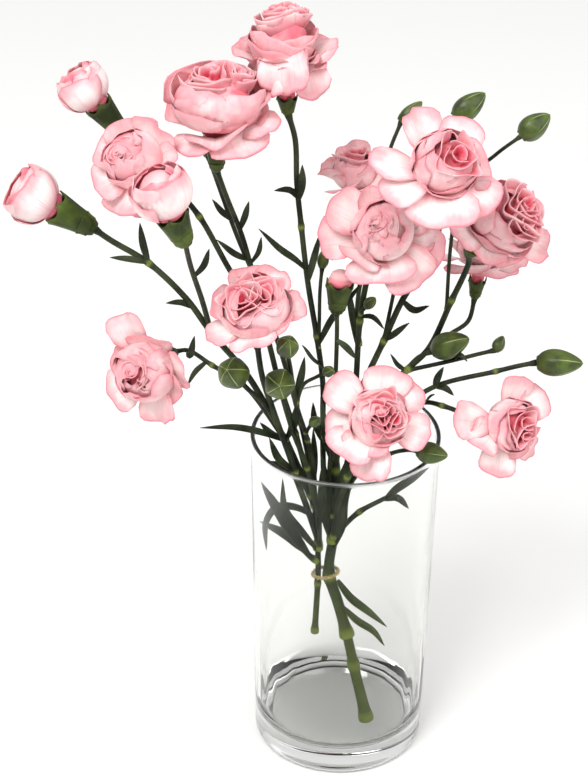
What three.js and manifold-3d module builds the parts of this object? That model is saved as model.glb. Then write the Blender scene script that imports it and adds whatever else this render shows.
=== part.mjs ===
import * as THREE from "three";
import { mergeVertices } from "three/addons/utils/BufferGeometryUtils.js";
import Module from "manifold-3d";

const wasm = await Module();
wasm.setup();

// Driving dimensions in millimetres, with the origin at the centre of the glass underside
const GLASS_HEIGHT = 155;
const RIM_RADIUS = 40;
const BASE_RADIUS = 37;
const FOOT_RADIUS = 34.5;
const WALL = 1.8;
const FLOOR_HEIGHT = 11.5;
const FLOOR_RADIUS = 27.7;
const GLASS_SIDES = 26;

const GAP = 0.3;
const BAND_CENTRE = [-7.2, -2, 84.5];
const BAND_HALF_WIDTH = 5.5;
const BAND_HALF_DEPTH = 4.2;
const BAND_THICKNESS = 0.7;
const BAND_TILT = 0.16;

const CALYX_LENGTH = 12;
const CALYX_RADIUS = 4.7;
const CALYX_SOCKET_DEPTH = 4.5;
const CALYX_WALL = 0.7;
const CALYX_TOOTH = 1.3;
const CALYX_SIDES = 10;
const HEAD_DEPTH = 0.5;

const PETAL_THICKNESS = 0.8;
const LEAF_THICKNESS = 0.8;
const LEAF_FOLD = 0.35;
const STEM_STEP = 24;
const JOINTED_RADIUS = 1.6;

const UP = new THREE.Vector3(0, 0, 1);
const LEAF_FACE = [0, -0.5, 0.87];

// Open heads: the centre of the head, the way it looks and its radius; the radius, flatness and height
// of its closed middle; the places and sizes of the openings in that middle, and its outer petals. All
// but the first three are shares of the radius. An outer petal has its direction in degrees from the
// right, its length and width, and its lean from the axis in even steps up to its tip
const BLOOMS = {
  crown: {
    centre: [-27, 14, 313], axis: [-0.06, 0.1, 0.99], radius: 20, cupLength: 7, cupRadius: 4.4,
    ball: [0.68, 0.96, 1.2], hearts: [[-0.2, 0, 0.8], [0.45, 0.1, 0.5]],
    guards: [
      [268, 1.9, 1, 10, 60, 160, 168], [252, 1.4, 0.7, 12, 60, 158, 168],
      [303, 1.55, 0.85, 16, 78, 150, 160], [2, 1.35, 1, 32, 60, 80], [172, 1.35, 0.9, 34, 54, 66],
      [50, 1.3, 1.1, 44, 56], [130, 1.3, 1.1, 46, 60],
    ],
  },
  upper_left: {
    centre: [-53.4, -3.6, 299], axis: [0.02, -0.16, 0.98], radius: 20,
    ball: [0.95, 0.58, 1.08], hearts: [[-0.14, 0.15, 0.75], [0.48, 0.25, 0.45]],
    guards: [
      [300, 1.25, 1.15, 66, 140], [338, 1.4, 0.95, 60, 100], [238, 1.2, 0.95, 66, 138],
      [185, 1.2, 1.1, 56, 58], [60, 1.2, 1.2, 54, 52], [120, 1.2, 1.2, 56, 54],
    ],
  },
  left: {
    centre: [-84, -17, 288], axis: [-0.36, -0.64, 0.68], radius: 18,
    ball: [0.62, 0.9, 0.72], hearts: [[-0.25, 0.05, 0.75]],
    guards: [
      [200, 1.1, 1.1, 70, 84], [245, 1.25, 1.2, 74, 92], [278, 1.25, 1, 84, 112],
      [335, 1.1, 1, 62, 66], [38, 1.2, 1.1, 50, 40], [85, 1.15, 1.2, 46, 38],
    ],
  },
  centre: {
    centre: [-38, -30, 229], axis: [-0.04, -0.42, 0.91], radius: 18.5,
    ball: [0.76, 0.75, 0.74], hearts: [[-0.3, -0.22, 0.55], [0.32, -0.05, 0.5]],
    guards: [
      [100, 1.2, 0.9, 54, 46], [58, 1.25, 0.8, 50, 44], [8, 1.15, 0.7, 70, 84], [268, 1.25, 1, 64, 74],
      [212, 1.2, 0.8, 80, 98], [165, 1.1, 0.9, 60, 54],
    ],
  },
  low_left: {
    centre: [-81, -18, 196], axis: [-0.42, -0.89, 0.17], radius: 19,
    ball: [0.66, 0.9, 0.7], hearts: [[0, 0.28, 0.85]],
    guards: [
      [92, 1.5, 0.8, 54, 70, 100], [62, 1, 1, 56, 50], [348, 1.15, 0.85, 66, 66],
      [268, 1.3, 1, 74, 80], [200, 1.25, 0.95, 74, 86], [150, 0.95, 0.8, 60, 62],
    ],
  },
  top_right: {
    centre: [34, -25, 291], axis: [0.09, -0.47, 0.88], radius: 23,
    ball: [0.56, 0.95, 0.66], hearts: [[0.3, -0.3, 0.75]],
    guards: [
      [124, 1.3, 0.8, 54, 56], [66, 1.15, 0.75, 56, 62], [182, 1.38, 0.75, 72, 86],
      [212, 1.22, 0.75, 82, 104], [268, 1.12, 1.2, 84, 104], [318, 1.12, 0.95, 80, 100],
    ],
  },
  right_front: {
    centre: [12, -8, 254], axis: [0, -0.8, 0.6], radius: 24,
    ball: [0.5, 1, 0.62], hearts: [[-0.25, 0.1, 0.75]],
    guards: [
      [150, 1.1, 0.8, 64, 70], [186, 1.15, 0.75, 74, 80], [268, 0.95, 1.15, 66, 72],
      [305, 1.15, 0.9, 76, 90], [336, 1.15, 0.8, 72, 82], [92, 1.05, 0.8, 40, 28],
    ],
  },
  back_right: {
    centre: [3, 38, 254], axis: [-0.26, 0.17, 0.95], radius: 16,
    ball: [0.6, 0.9, 0.75], hearts: [[0.25, 0.1, 0.75]],
    guards: [
      [190, 1.15, 1.1, 40, 34], [150, 1.2, 0.95, 40, 34], [86, 1.45, 0.9, 30, 24],
      [40, 1.1, 1, 60, 60], [0, 1, 1, 60, 60], [300, 1, 1.1, 68, 78],
    ],
  },
  right: {
    centre: [58.5, 5, 251], axis: [0.45, -0.41, 0.79], radius: 20.5,
    ball: [0.72, 0.85, 0.78], hearts: [[0.25, 0.05, 0.6], [0.35, -0.45, 0.45]],
    guards: [
      [246, 0.98, 1.05, 76, 84], [286, 0.88, 0.9, 76, 80], [213, 1.2, 0.9, 78, 96],
      [345, 1.25, 0.8, 70, 70], [160, 0.86, 1.05, 58, 56], [70, 0.95, 1, 50, 44],
    ],
  },
  hidden_right: {
    centre: [56, 42, 215], axis: [0.1, 0.2, 0.97], radius: 17, cupLength: 8, cupRadius: 3.9,
    ball: [0.6, 0.85, 0.8], hearts: [[0, 0, 0.8]],
    guards: [
      [200, 1.2, 1.2, 70, 108], [245, 1.2, 1.2, 74, 125], [290, 1.2, 1.2, 74, 125],
      [335, 1.2, 1.15, 70, 108], [30, 1.05, 1.15, 62, 78], [110, 1.05, 1.2, 62, 78],
    ],
  },
  front: {
    centre: [12, -34, 183], axis: [0.09, -0.73, 0.68], radius: 21,
    ball: [0.58, 0.85, 0.62], hearts: [[-0.05, 0.05, 0.65], [0.4, -0.15, 0.45]],
    guards: [
      [147, 1.28, 0.8, 74, 88], [80, 1.12, 0.95, 66, 70], [46, 1.08, 0.8, 72, 84],
      [343, 1.1, 0.75, 70, 84], [262, 1.3, 0.75, 76, 90], [226, 1.25, 0.95, 62, 70],
    ],
  },
  low_right: {
    centre: [67, -10, 166], axis: [0.5, -0.76, 0.41], radius: 19.5,
    ball: [0.56, 0.85, 0.6], hearts: [[0.1, 0.1, 0.65], [0.35, -0.35, 0.4]],
    guards: [
      [192, 1.75, 0.8, 76, 78], [212, 1.4, 0.85, 58, 50], [97, 1.15, 0.85, 66, 66],
      [52, 1.18, 0.8, 78, 90], [336, 1, 0.6, 78, 96], [270, 1.2, 0.8, 74, 82],
    ],
  },
};

// Heads that are still half closed: an egg of wrapped petals standing in its calyx
const OPENING_BUDS = {
  top: {
    centre: [-106, 12, 306], axis: [-0.63, 0.12, 0.77], turn: 0,
    radius: 9.8, length: 17, cupLength: 16, cupRadius: 6,
  },
  middle: {
    centre: [-73, -47, 290], axis: [-0.36, -0.08, 0.93], turn: 50,
    radius: 11, length: 19, cupLength: 14, cupRadius: 6.8,
  },
  far_left: {
    centre: [-126, -5, 267], axis: [-0.85, -0.02, 0.53], turn: 20,
    radius: 10.8, length: 19, cupLength: 18, cupRadius: 7,
  },
  showing: {
    centre: [-4, -8, 234], axis: [0.09, 0.18, 0.98], turn: 10,
    radius: 4.8, length: 6, cupLength: 12, cupRadius: 5.8,
  },
};

// Closed green buds: the middle, the way the tip points, length and width
const CLOSED_BUDS = {
  top_a: { centre: [45, 6, 303], axis: [0.76, 0.24, 0.6], length: 16, width: 10 },
  top_b: { centre: [72, 14, 291], axis: [0.79, 0.22, 0.57], length: 15, width: 10.5 },
  top_c: { centre: [22, 2, 302], axis: [0.72, 0.27, 0.64], length: 12, width: 6 },
  side_a: { centre: [43, 12, 191], axis: [0.84, -0.22, 0.5], length: 18, width: 12 },
  side_b: { centre: [63, 10, 193], axis: [0.45, 0.37, 0.81], length: 7.5, width: 5.5 },
  side_c: { centre: [88, 5, 187], axis: [0.98, -0.19, 0.1], length: 20, width: 12 },
  rim: { centre: [35, -24, 160.5], axis: [0.89, -0.43, 0.1], length: 14, width: 9.5 },
  near_a: { centre: [-47, -24, 198], axis: [-0.26, -0.74, 0.62], length: 16, width: 13.5 },
  near_b: { centre: [-28, -26, 194], axis: [0, -0.9, 0.44], length: 15, width: 13 },
  near_c: { centre: [-25, -31, 215], axis: [0.09, -0.61, 0.79], length: 12, width: 9.5 },
  tiny_a: { centre: [-8, -17, 195], axis: [0.4, -0.72, 0.57], length: 7, width: 5 },
  tiny_b: { centre: [-13, -14, 169], axis: [0.5, -0.53, 0.69], length: 7, width: 5 },
  tiny_c: { centre: [-11, 3, 236], axis: [0.09, 0.23, 0.97], length: 8, width: 5 },
  tiny_d: { centre: [9, 10, 212], axis: [0.53, -0.27, 0.8], length: 7, width: 5 },
  hidden: { centre: [-59, 31, 272], axis: [-0.22, 0.42, 0.88], length: 9, width: 6 },
};

// Branches of the right spray, from the cut end up; the last point meets the calyx or bud it carries
const RIGHT_BRANCHES = [
  { radius: 2.3, points: [[12.4, -13, 12.6], [9, -11, 27], [6, -9, 40], [3, -7, 54]] },
  { radius: 2.4,
    points: [[3, -7, 54], [-1.4, -4.5, 70], [-5.5, -2, 83], [-5.6, -1.6, 89], [-4.4, 0, 99]] },
  { radius: 1.9, points: [[-4.4, 0, 99], [-5, 2, 118], [-4, 2, 135], [-4, 2, 150]] },
  { radius: 1.2, carries: "crown",
    points: [
      [-4.5, 1, 103], [-8, 4, 122], [-9.5, 5, 150], [-10, 3, 177], [-13, 3, 200], [-17, 3, 225],
      [-20, 4, 250], [-22, 6, 268], [-23, 8, 287],
    ] },
  { radius: 0.8, carries: "tiny_c", points: [[-12, 3, 193], [-12, 2, 208], [-12, 2, 222]] },
  { radius: 1, carries: "showing",
    points: [[-4.5, 0, 112], [-6.5, -3, 134], [-5.5, -4, 158], [-5, -7, 186], [-5, -9, 212]] },
  { radius: 1.3, carries: "right_front",
    points: [[-4, 1, 101], [-0.5, 4, 124], [3, 7, 152], [4, 8, 176], [5, 12, 202], [8, 16, 222]] },
  { radius: 0.8, carries: "tiny_d", points: [[5, 12.5, 204], [6, 11, 208]] },
  { radius: 1, carries: "back_right", points: [[5, 10, 191], [4, 19, 205], [6, 26, 220]] },
  { radius: 1.3, carries: "top_right",
    points: [
      [-4, 2, 106], [-4.5, 7, 128], [0, 7, 152], [6, 5, 173], [15, 8, 195], [22, 10, 213],
      [32, 13, 231], [36, 8, 250], [34.5, -5, 265],
    ] },
  { radius: 0.8, carries: "top_a", points: [[22, 10, 213], [31, 17, 235], [38, 15, 262], [41, 8, 286]] },
  { radius: 0.8, carries: "top_c", points: [[15, 8, 195], [20, 19, 225], [17, 16, 252], [14, 6, 280]] },
  { radius: 1.3, carries: "right",
    points: [
      [-3.5, 1, 104], [2, 6, 130], [6, 8, 148], [14, 10, 165], [25, 14, 177], [34, 18, 185],
      [43, 18, 209], [49, 18, 226],
    ] },
  { radius: 1, carries: "hidden_right", points: [[34, 18, 185], [44, 28, 187], [52, 36, 189]] },
  { radius: 0.8, carries: "top_b",
    points: [[41, 18, 203], [42, 25, 232], [45, 29, 255], [58, 19, 276]] },
  { radius: 1, carries: "side_a", points: [[25, 14, 177], [30, 15, 183]] },
  { radius: 0.9, carries: "side_b", points: [[25, 14, 177], [44, 11, 184], [55, 10, 188]] },
  { radius: 1.1, carries: "side_c",
    points: [[0, 5, 127], [8, 6, 147], [21, 8, 160], [37, 8, 173], [62, 6, 182], [72, 6, 185]] },
  { radius: 1.1, carries: "low_right",
    points: [[2, 6, 132], [13, 12, 148], [25, 17, 156], [34, 18, 159], [41, 13, 160.5], [49, 10, 159]] },
  { radius: 1.3, carries: "front",
    points: [[-4, -1, 102], [-2.5, -5, 120], [1, -8, 138], [6, -11, 150], [9, -14, 158]] },
  { radius: 0.9, carries: "rim", points: [[-2, -3, 120], [6, -5, 138], [18, -12, 152], [25, -18, 158]] },
  { radius: 1.2, points: [[-4, 0, 101], [1, 2, 107], [7, 3, 113], [18, 4, 120]] },
];

const LEFT_BRANCHES = [
  { radius: 1.35,
    points: [[-11.3, -3, 53], [-10.8, -3, 67], [-10.4, -2.3, 79], [-10.3, -2, 86], [-10.6, -1, 96]] },
  { radius: 1.7,
    points: [[-10.6, -1, 96], [-11, 0, 111], [-14, 0, 124], [-18, -1, 133], [-25, -3, 152]] },
  { radius: 1, carries: "low_left",
    points: [[-25, -3, 152], [-43, -5, 181], [-56, 0, 187], [-66, 5, 191]] },
  { radius: 1.1, carries: "near_a", points: [[-25, -3, 152], [-34, -11, 175], [-42, -18, 188]] },
  { radius: 1.3, carries: "far_left",
    points: [
      [-25, -3, 152], [-41, -5, 185], [-56, -9, 208], [-66, -8, 223], [-81, -6, 238], [-96, -4, 247],
    ] },
  { radius: 1.1, carries: "middle", points: [[-56, -9, 208], [-59, -15, 225], [-63, -31, 250]] },
  { radius: 1.3, carries: "centre",
    points: [[-10, -2, 99], [-15, -5, 118], [-21, -8, 140], [-30, -10, 170], [-35, -14, 190]] },
  { radius: 1.2, carries: "left",
    points: [
      [-12.5, 0, 117], [-17, 3, 136], [-21, 3, 152], [-28, 2, 177], [-37, 1, 212], [-48, 3, 229],
      [-61, 6, 253], [-70, 7, 264],
    ] },
  { radius: 1, carries: "top", points: [[-65, 7, 258], [-76, 15, 264], [-86, 15, 275]] },
  { radius: 1.1, carries: "upper_left",
    points: [
      [-11, 1, 108], [-14, 5, 130], [-19, 6, 156], [-28, 4, 193], [-39, 5, 227], [-44, 6, 245],
      [-50, 4, 263],
    ] },
  { radius: 0.9, carries: "hidden", points: [[-39, 5, 227], [-46, 14, 240], [-54, 25, 258]] },
  { radius: 1.1, carries: "near_b",
    points: [[-10, -3, 97], [-11.5, -6, 118], [-16, -8, 142], [-22, -9, 160], [-26, -13, 177]] },
  { radius: 1, carries: "near_c",
    points: [[-12, -1, 116], [-13, -2, 136], [-16, -5, 154], [-21, -12, 176], [-24, -22, 201]] },
  { radius: 0.8, carries: "tiny_a", points: [[-21, -12, 176], [-18, -14, 187], [-13, -15, 191]] },
  { radius: 0.8, carries: "tiny_b", points: [[-17, -6, 158], [-16, -9, 162]] },
  { radius: 1.3, points: [[-10.5, -1.5, 90], [-14, -2, 93], [-18, -2, 98]] },
];

// Leaves: width and the points of the midrib, from the stem to the tip
const RIGHT_LEAVES = [
  { width: 4.2, points: [[18, 4, 119], [23, 4, 125], [29, 4, 130], [36, 4, 136]] },
  { width: 3.6, points: [[18, 4, 119], [23, 2, 121], [28, 0, 117]] },
  { width: 3.8, points: [[-2, -3, 81], [4, -5, 73], [12, -7, 67], [20, -8, 60]] },
  { width: 3.4, points: [[1, -5, 68], [7, -8, 63], [14, -10, 59], [19, -11, 52]] },
  { width: 3.4, points: [[-18, 3, 231], [-22, 1, 236], [-29, -2, 243], [-37, -6, 254]] },
  { width: 3, points: [[-17, 3, 225], [-15, 0, 236], [-12, -3, 252]] },
  { width: 3.2, points: [[-21, 5, 262], [-25, 4, 266], [-31, 2, 267]] },
  { width: 3.2, points: [[-21, 5, 262], [-20, 4, 269], [-20, 3, 278]] },
  { width: 3.2, points: [[15, 8, 195], [19, 6, 199], [25, 4, 206]] },
  { width: 3.2, points: [[22, 10, 213], [27, 7, 210], [33, 6, 213]] },
  { width: 3.4, points: [[37, 8, 173], [38, 6, 178], [40, 4, 185]] },
  { width: 3.2, points: [[37, 8, 173], [41, 7, 173], [45, 6, 170]] },
  { width: 3, points: [[34, 18.3, 158.8], [36, 13, 165], [37, 8, 169]] },
  { width: 3.4, points: [[-12, 3, 196], [-7, 0, 209], [-1, -4, 220], [5, -7, 231]] },
  { width: 3, points: [[-5, -9, 205], [-1, -10, 202], [3, -12, 198]] },
  { width: 3.4, points: [[-11, 2, 186], [-15, -4, 193], [-19, -10, 203]] },
  { width: 3.8, points: [[-4, 1, 117], [0, -3, 137], [3, -6, 150]] },
  { width: 3.8, points: [[-4, 2, 135], [-8, -3, 153], [-11, -8, 177]] },
  { width: 4.4, points: [[-4, -1, 97], [-1, -4, 110], [0, -5, 124], [4, -3, 139]] },
  { width: 4.2, points: [[-5, 0, 100], [-8, -1, 115], [-8, -2, 130], [-10, -3, 146]] },
  { width: 3.8, points: [[-4, 2, 150], [0, -2, 160], [1, -5, 172]] },
  { width: 3.4, points: [[-9, 5, 146], [-13, 2, 158], [-14, -1, 170]] },
  { width: 3, points: [[4.5, 10, 190], [1, 17, 207], [-1, 20, 219]] },
];

const LEFT_LEAVES = [
  { width: 3.2, points: [[-25, -3, 152], [-34, -5, 157], [-46, -7, 161], [-61, -9, 162]] },
  { width: 3.2, points: [[-26, -3, 153], [-31, -1, 154], [-36, 2, 158]] },
  { width: 5.4, points: [[-15, -2, 94], [-22, -2, 105], [-29, -2, 118], [-35.5, -2, 131]] },
  { width: 4.4, points: [[-17, -2, 96], [-25, -2, 104], [-36, -1, 110]] },
  { width: 3.4, points: [[-11, 0, 111], [-20, -2, 118], [-28, -3, 119], [-33, -3, 111], [-33, -1, 95]] },
  { width: 3.4, points: [[-11, -3, 97], [-18, -5, 108], [-25, -6, 120], [-26, -6, 136]] },
  { width: 4.2, points: [[-11, -5, 110], [-9.5, -7, 126], [-10, -8, 142]] },
  { width: 3.6, points: [[-18, -1, 133], [-24, -4, 139], [-32, -6, 144]] },
  { width: 4, points: [[-25, -3, 152], [-22, -8, 163], [-20, -11, 178]] },
  { width: 3.6, points: [[-21, -8, 140], [-28, -11, 148], [-32, -13, 160]] },
  { width: 3, points: [[-81, -6, 238], [-83, -7, 247], [-84, -8, 257]] },
  { width: 3, points: [[-81, -6, 238], [-88, -9, 241], [-96, -11, 243]] },
  { width: 3, points: [[-64, -8, 219], [-68, -10, 222], [-74, -12, 223]] },
  { width: 3, points: [[-40.5, 6.2, 233], [-47, 6, 236], [-54, 5, 243]] },
  { width: 3, points: [[-48, 18, 245], [-53, 17, 250], [-56, 15, 256]] },
  { width: 3, points: [[-44.8, 5.9, 247], [-42.5, 4, 254], [-41, 2, 262]] },
  { width: 3.2, points: [[-66, 4.8, 190.8], [-65, 0.6, 190.8], [-63, -2, 202]] },
  { width: 3.2, points: [[-21, -12, 180], [-19, -15, 192], [-18, -16, 201]] },
  { width: 3.4, points: [[-14, 0, 124], [-13, 5, 138], [-13.5, 7, 152]] },
  { width: 3, points: [[-62, -24, 242], [-58, -26, 248], [-56, -27, 256]] },
];

// The closed middle of a head: how many petals lap over each other and how deep, how deep its openings
// are, and the size and half angle of the petal rolled up in the first one
const MIDDLE_SIDES = 10;
const LAP_COUNT = 3;
const LAP_DEPTH = 0.12;
const HEART_DEPTH = 0.3;
const FOLD_SHARE = 0.6;
const FOLD_SPREAD = 1.3;

// Outer petals: what their widths are multiplied by, how far one lies under the one before, how much
// their tips differ, and their lean at the root and across, in degrees
const GUARD_WIDTH = 1.3;
const GUARD_STEP = 1.1;
const GUARD_SWAY = 26;
const GUARD_ROOT_LEAN = 30;
const GUARD_TILT = 11;
const PLUG_TOP = 1.8;
const ROOT_HEIGHT = 2.4;
const ROOT_RADIUS = 2.2;
const SUNK_LENGTH = 4;
const RUFFLE = 0.055;

function vector(list) {
  return new THREE.Vector3(...list);
}

function degrees(angle) {
  return THREE.MathUtils.degToRad(angle);
}

// A steady number from 0 to 1 for each whole number, so that no two petals are alike
function scatter(number) {
  return THREE.MathUtils.euclideanModulo(Math.sin(number * 12.9898) * 43758.5453, 1);
}

function solid(geometry) {
  geometry.deleteAttribute("normal");
  geometry.deleteAttribute("uv");
  const merged = mergeVertices(geometry);
  return new wasm.Manifold(new wasm.Mesh({
    numProp: 3,
    vertProperties: merged.attributes.position.array,
    triVerts: Uint32Array.from(merged.index.array),
  }));
}

function largestBody(shape) {
  const bodies = shape.decompose();
  return bodies.reduce((best, body) => (body.volume() > best.volume() ? body : best));
}

// Joins closed geometries into one body, without loose scraps and sealed hollows
function fuse(geometries) {
  const solids = geometries.map(solid);
  const joined = solids.reduce((whole, piece) => whole.add(piece));
  const surface = largestBody(joined).getMesh();
  const geometry = new THREE.BufferGeometry();
  geometry.setAttribute("position", new THREE.BufferAttribute(surface.vertProperties, 3));
  geometry.setIndex(new THREE.BufferAttribute(surface.triVerts, 1));
  geometry.computeVertexNormals();
  return geometry;
}

function mesh(name, geometry, look) {
  const piece = new THREE.Mesh(geometry, new THREE.MeshStandardMaterial(look));
  piece.name = name;
  return piece;
}

// Moves a shape built along +Z so that its origin and axis lie where they are wanted
function stand(geometry, origin, axis, turn = 0) {
  const lean = new THREE.Quaternion().setFromUnitVectors(UP, axis);
  const spin = new THREE.Quaternion().setFromAxisAngle(UP, degrees(turn));
  const one = new THREE.Vector3(1, 1, 1);
  return geometry.applyMatrix4(new THREE.Matrix4().compose(origin, lean.multiply(spin), one));
}

function turned(profile, sides) {
  const points = profile.map(([radius, height]) => new THREE.Vector2(radius, height));
  return new THREE.LatheGeometry(points, sides).rotateX(Math.PI / 2);
}

// Moves each vertex of a geometry to the place that a rule gives for it
function reshape(geometry, rule) {
  const position = geometry.attributes.position;
  for (let i = 0; i < position.count; i += 1) {
    const moved = rule(new THREE.Vector3().fromBufferAttribute(position, i));
    position.setXYZ(i, moved.x, moved.y, moved.z);
  }
  return geometry;
}

// A thin closed sheet on a bent grid, with the same diagonals on both faces
function bentSheet(columns, rows, thickness, place) {
  const grid = new THREE.PlaneGeometry(1, 1, columns, rows);
  const { position, uv } = grid.attributes;
  for (let i = 0; i < position.count; i += 1) {
    const point = place(2 * uv.getX(i) - 1, uv.getY(i));
    position.setXYZ(i, point.x, point.y, point.z);
  }
  grid.computeVertexNormals();
  const vertices = [];
  for (const side of [0.5, -0.5]) {
    for (let i = 0; i < position.count; i += 1) {
      const normal = new THREE.Vector3().fromBufferAttribute(grid.attributes.normal, i);
      const point = new THREE.Vector3().fromBufferAttribute(position, i);
      vertices.push(...point.addScaledVector(normal, side * thickness));
    }
  }
  const back = position.count;
  const faces = [...grid.index.array];
  for (let i = 0; i < grid.index.count; i += 3) {
    const [a, b, c] = grid.index.array.slice(i, i + 3);
    faces.push(a + back, c + back, b + back);
  }
  const edge = sheetEdge(columns, rows);
  edge.forEach((from, i) => {
    const to = edge[(i + 1) % edge.length];
    faces.push(to, from, from + back, to, from + back, to + back);
  });
  const sheet = new THREE.BufferGeometry();
  sheet.setAttribute("position", new THREE.Float32BufferAttribute(vertices, 3));
  sheet.setIndex(faces);
  return sheet;
}

// The grid points round a sheet: along the root, up one side, back along the tip and down the other
function sheetEdge(columns, rows) {
  const across = columns + 1;
  const edge = [];
  for (let i = 0; i < columns; i += 1) edge.push(rows * across + i);
  for (let j = rows; j > 0; j -= 1) edge.push(j * across + columns);
  for (let i = columns; i > 0; i -= 1) edge.push(i);
  for (let j = 0; j < rows; j += 1) edge.push(j * across);
  return edge;
}

// Glass tumbler with a thick foot, slightly wider at the rim
function glassTumbler() {
  const innerRim = RIM_RADIUS - WALL;
  const innerFoot = BASE_RADIUS - WALL;
  const corner = innerFoot - FLOOR_RADIUS;
  const profile = [[0, 0], [FOOT_RADIUS, 0], [BASE_RADIUS - 0.7, 1.4], [BASE_RADIUS, 4.5]];
  profile.push([RIM_RADIUS, GLASS_HEIGHT - 0.8], [RIM_RADIUS - WALL / 2, GLASS_HEIGHT]);
  profile.push([innerRim, GLASS_HEIGHT - 0.8], [innerFoot + 0.4, FLOOR_HEIGHT + 2 * corner]);
  for (const angle of [0, 45]) {
    const reach = corner * Math.cos(degrees(angle));
    const drop = corner * (1 - Math.sin(degrees(angle)));
    profile.push([FLOOR_RADIUS + reach, FLOOR_HEIGHT + drop]);
  }
  profile.push([FLOOR_RADIUS, FLOOR_HEIGHT], [0, FLOOR_HEIGHT]);
  return turned(profile, GLASS_SIDES);
}

// Oval tie round both stems, dipping on the left
function tieBand() {
  const ring = new THREE.TorusGeometry(1, BAND_THICKNESS, 5, 18);
  const middle = vector(BAND_CENTRE);
  return reshape(ring, (point) => {
    const angle = Math.atan2(point.y, point.x);
    const spread = Math.hypot(point.x, point.y) - 1;
    const x = (BAND_HALF_WIDTH + spread) * Math.cos(angle);
    const y = (BAND_HALF_DEPTH + spread) * Math.sin(angle);
    return new THREE.Vector3(x, y, point.z + BAND_TILT * x).add(middle);
  });
}

function stemTube(points, radius) {
  const path = new THREE.CatmullRomCurve3(points, false, "centripetal");
  const sides = radius > 1.5 ? 5 : 4;
  const section = new THREE.Shape();
  for (let i = 0; i < sides; i += 1) {
    const angle = (2 * Math.PI * i) / sides;
    const corner = [radius * Math.cos(angle), radius * Math.sin(angle)];
    if (i === 0) section.moveTo(...corner);
    else section.lineTo(...corner);
  }
  const step = radius > 1.3 ? 0.45 * STEM_STEP : STEM_STEP;
  const steps = Math.max(2, Math.round(path.getLength() / step));
  return new THREE.ExtrudeGeometry(section, { steps, extrudePath: path, bevelEnabled: false });
}

// Swollen joint of a stem
function knuckle(at, along, radius) {
  const ball = new THREE.SphereGeometry(1, 5, 3).rotateX(Math.PI / 2);
  ball.scale(1.45 * radius, 1.45 * radius, 2 * radius);
  return stand(ball, at, along.clone().normalize());
}

function leafBlade({ width, points }) {
  const path = new THREE.CatmullRomCurve3(points.map(vector), false, "centripetal");
  const face = vector(LEAF_FACE);
  const rows = points.length > 3 ? 4 : 2;
  return bentSheet(1, rows, LEAF_THICKNESS, (across, along) => {
    const middle = path.getPoint(along);
    const forward = path.getTangent(along);
    const side = new THREE.Vector3().crossVectors(forward, face).normalize();
    const upper = new THREE.Vector3().crossVectors(side, forward);
    const half = 0.5 * width * Math.max(0.14, Math.sin(Math.PI * (0.05 + 0.95 * along)) ** 0.7);
    middle.addScaledVector(side, across * half);
    return middle.addScaledVector(upper, Math.abs(across) * half * LEAF_FOLD);
  });
}

// Green cup with five teeth and a socket that the petals stand in
function calyx(length, radius) {
  const profile = [
    [0, -1], [0.78 * radius, 0.18 * length], [radius, length],
    [radius - CALYX_WALL, length], [0, length - CALYX_SOCKET_DEPTH],
  ];
  return reshape(turned(profile, CALYX_SIDES), (point) => {
    if (Math.abs(point.z - length) < 0.01) {
      point.z += CALYX_TOOTH * Math.cos(5 * Math.atan2(point.y, point.x));
    }
    return point;
  });
}

// Green bud, pointed at the tip and ribbed along its length
function closedBud({ length, width }) {
  const sides = length > 10 ? 8 : 5;
  const half = width / 2;
  const profile = [[0, 0], [0.8, 0.16], [1, 0.45], [0.76, 0.78], [0, 1]];
  const shape = turned(profile.map(([radius, height]) => [radius * half, height * length]), sides);
  return reshape(shape, (point) => {
    const rib = 1 + 0.05 * Math.cos(5 * Math.atan2(point.y, point.x));
    return new THREE.Vector3(point.x * rib, point.y * rib, point.z);
  });
}

// Where a bloom's calyx starts, and the way it points
function calyxOf(name) {
  const head = BLOOMS[name] ?? OPENING_BUDS[name];
  const axis = vector(head.axis).normalize();
  const depth = BLOOMS[name] ? HEAD_DEPTH * head.radius : HEAD_DEPTH * head.length;
  const length = head.cupLength ?? CALYX_LENGTH;
  const mouth = vector(head.centre).addScaledVector(axis, -depth);
  return { axis, length, mouth, root: mouth.clone().addScaledVector(axis, -length), turn: head.turn ?? 0 };
}

function calyxRadius(name) {
  const head = BLOOMS[name] ?? OPENING_BUDS[name];
  return head.cupRadius ?? CALYX_RADIUS;
}

// The place where a branch ends in what it carries
function branchEnd(name) {
  if (CLOSED_BUDS[name]) {
    const bud = CLOSED_BUDS[name];
    const axis = vector(bud.axis).normalize();
    return vector(bud.centre).addScaledVector(axis, -0.5 * bud.length + 0.8);
  }
  return calyxOf(name).root;
}

function branchSolids({ radius, points, carries }) {
  const places = points.map(vector);
  if (carries) places.push(branchEnd(carries));
  const pieces = [stemTube(places, radius)];
  if (CLOSED_BUDS[carries]) {
    const bud = CLOSED_BUDS[carries];
    const axis = vector(bud.axis).normalize();
    const base = vector(bud.centre).addScaledVector(axis, -0.5 * bud.length);
    pieces.push(stand(closedBud(bud), base, axis));
  } else if (carries) {
    const { root, axis, length, turn } = calyxOf(carries);
    pieces.push(stand(calyx(length, calyxRadius(carries)), root, axis, turn));
  }
  return pieces;
}

// One swollen joint wherever thick branches leave, however many leave there
function knuckles(branches) {
  const joints = new Map();
  for (const { radius, points } of branches.slice(1)) {
    const [from, to] = points.map(vector);
    const start = points[0].join();
    if (radius >= JOINTED_RADIUS && !joints.has(start)) {
      joints.set(start, knuckle(from, to.sub(from), radius));
    }
  }
  return [...joints.values()];
}

function leafySpray(branches, leaves) {
  return fuse([...branches.flatMap(branchSolids), ...knuckles(branches), ...leaves.map(leafBlade)]);
}

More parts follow.
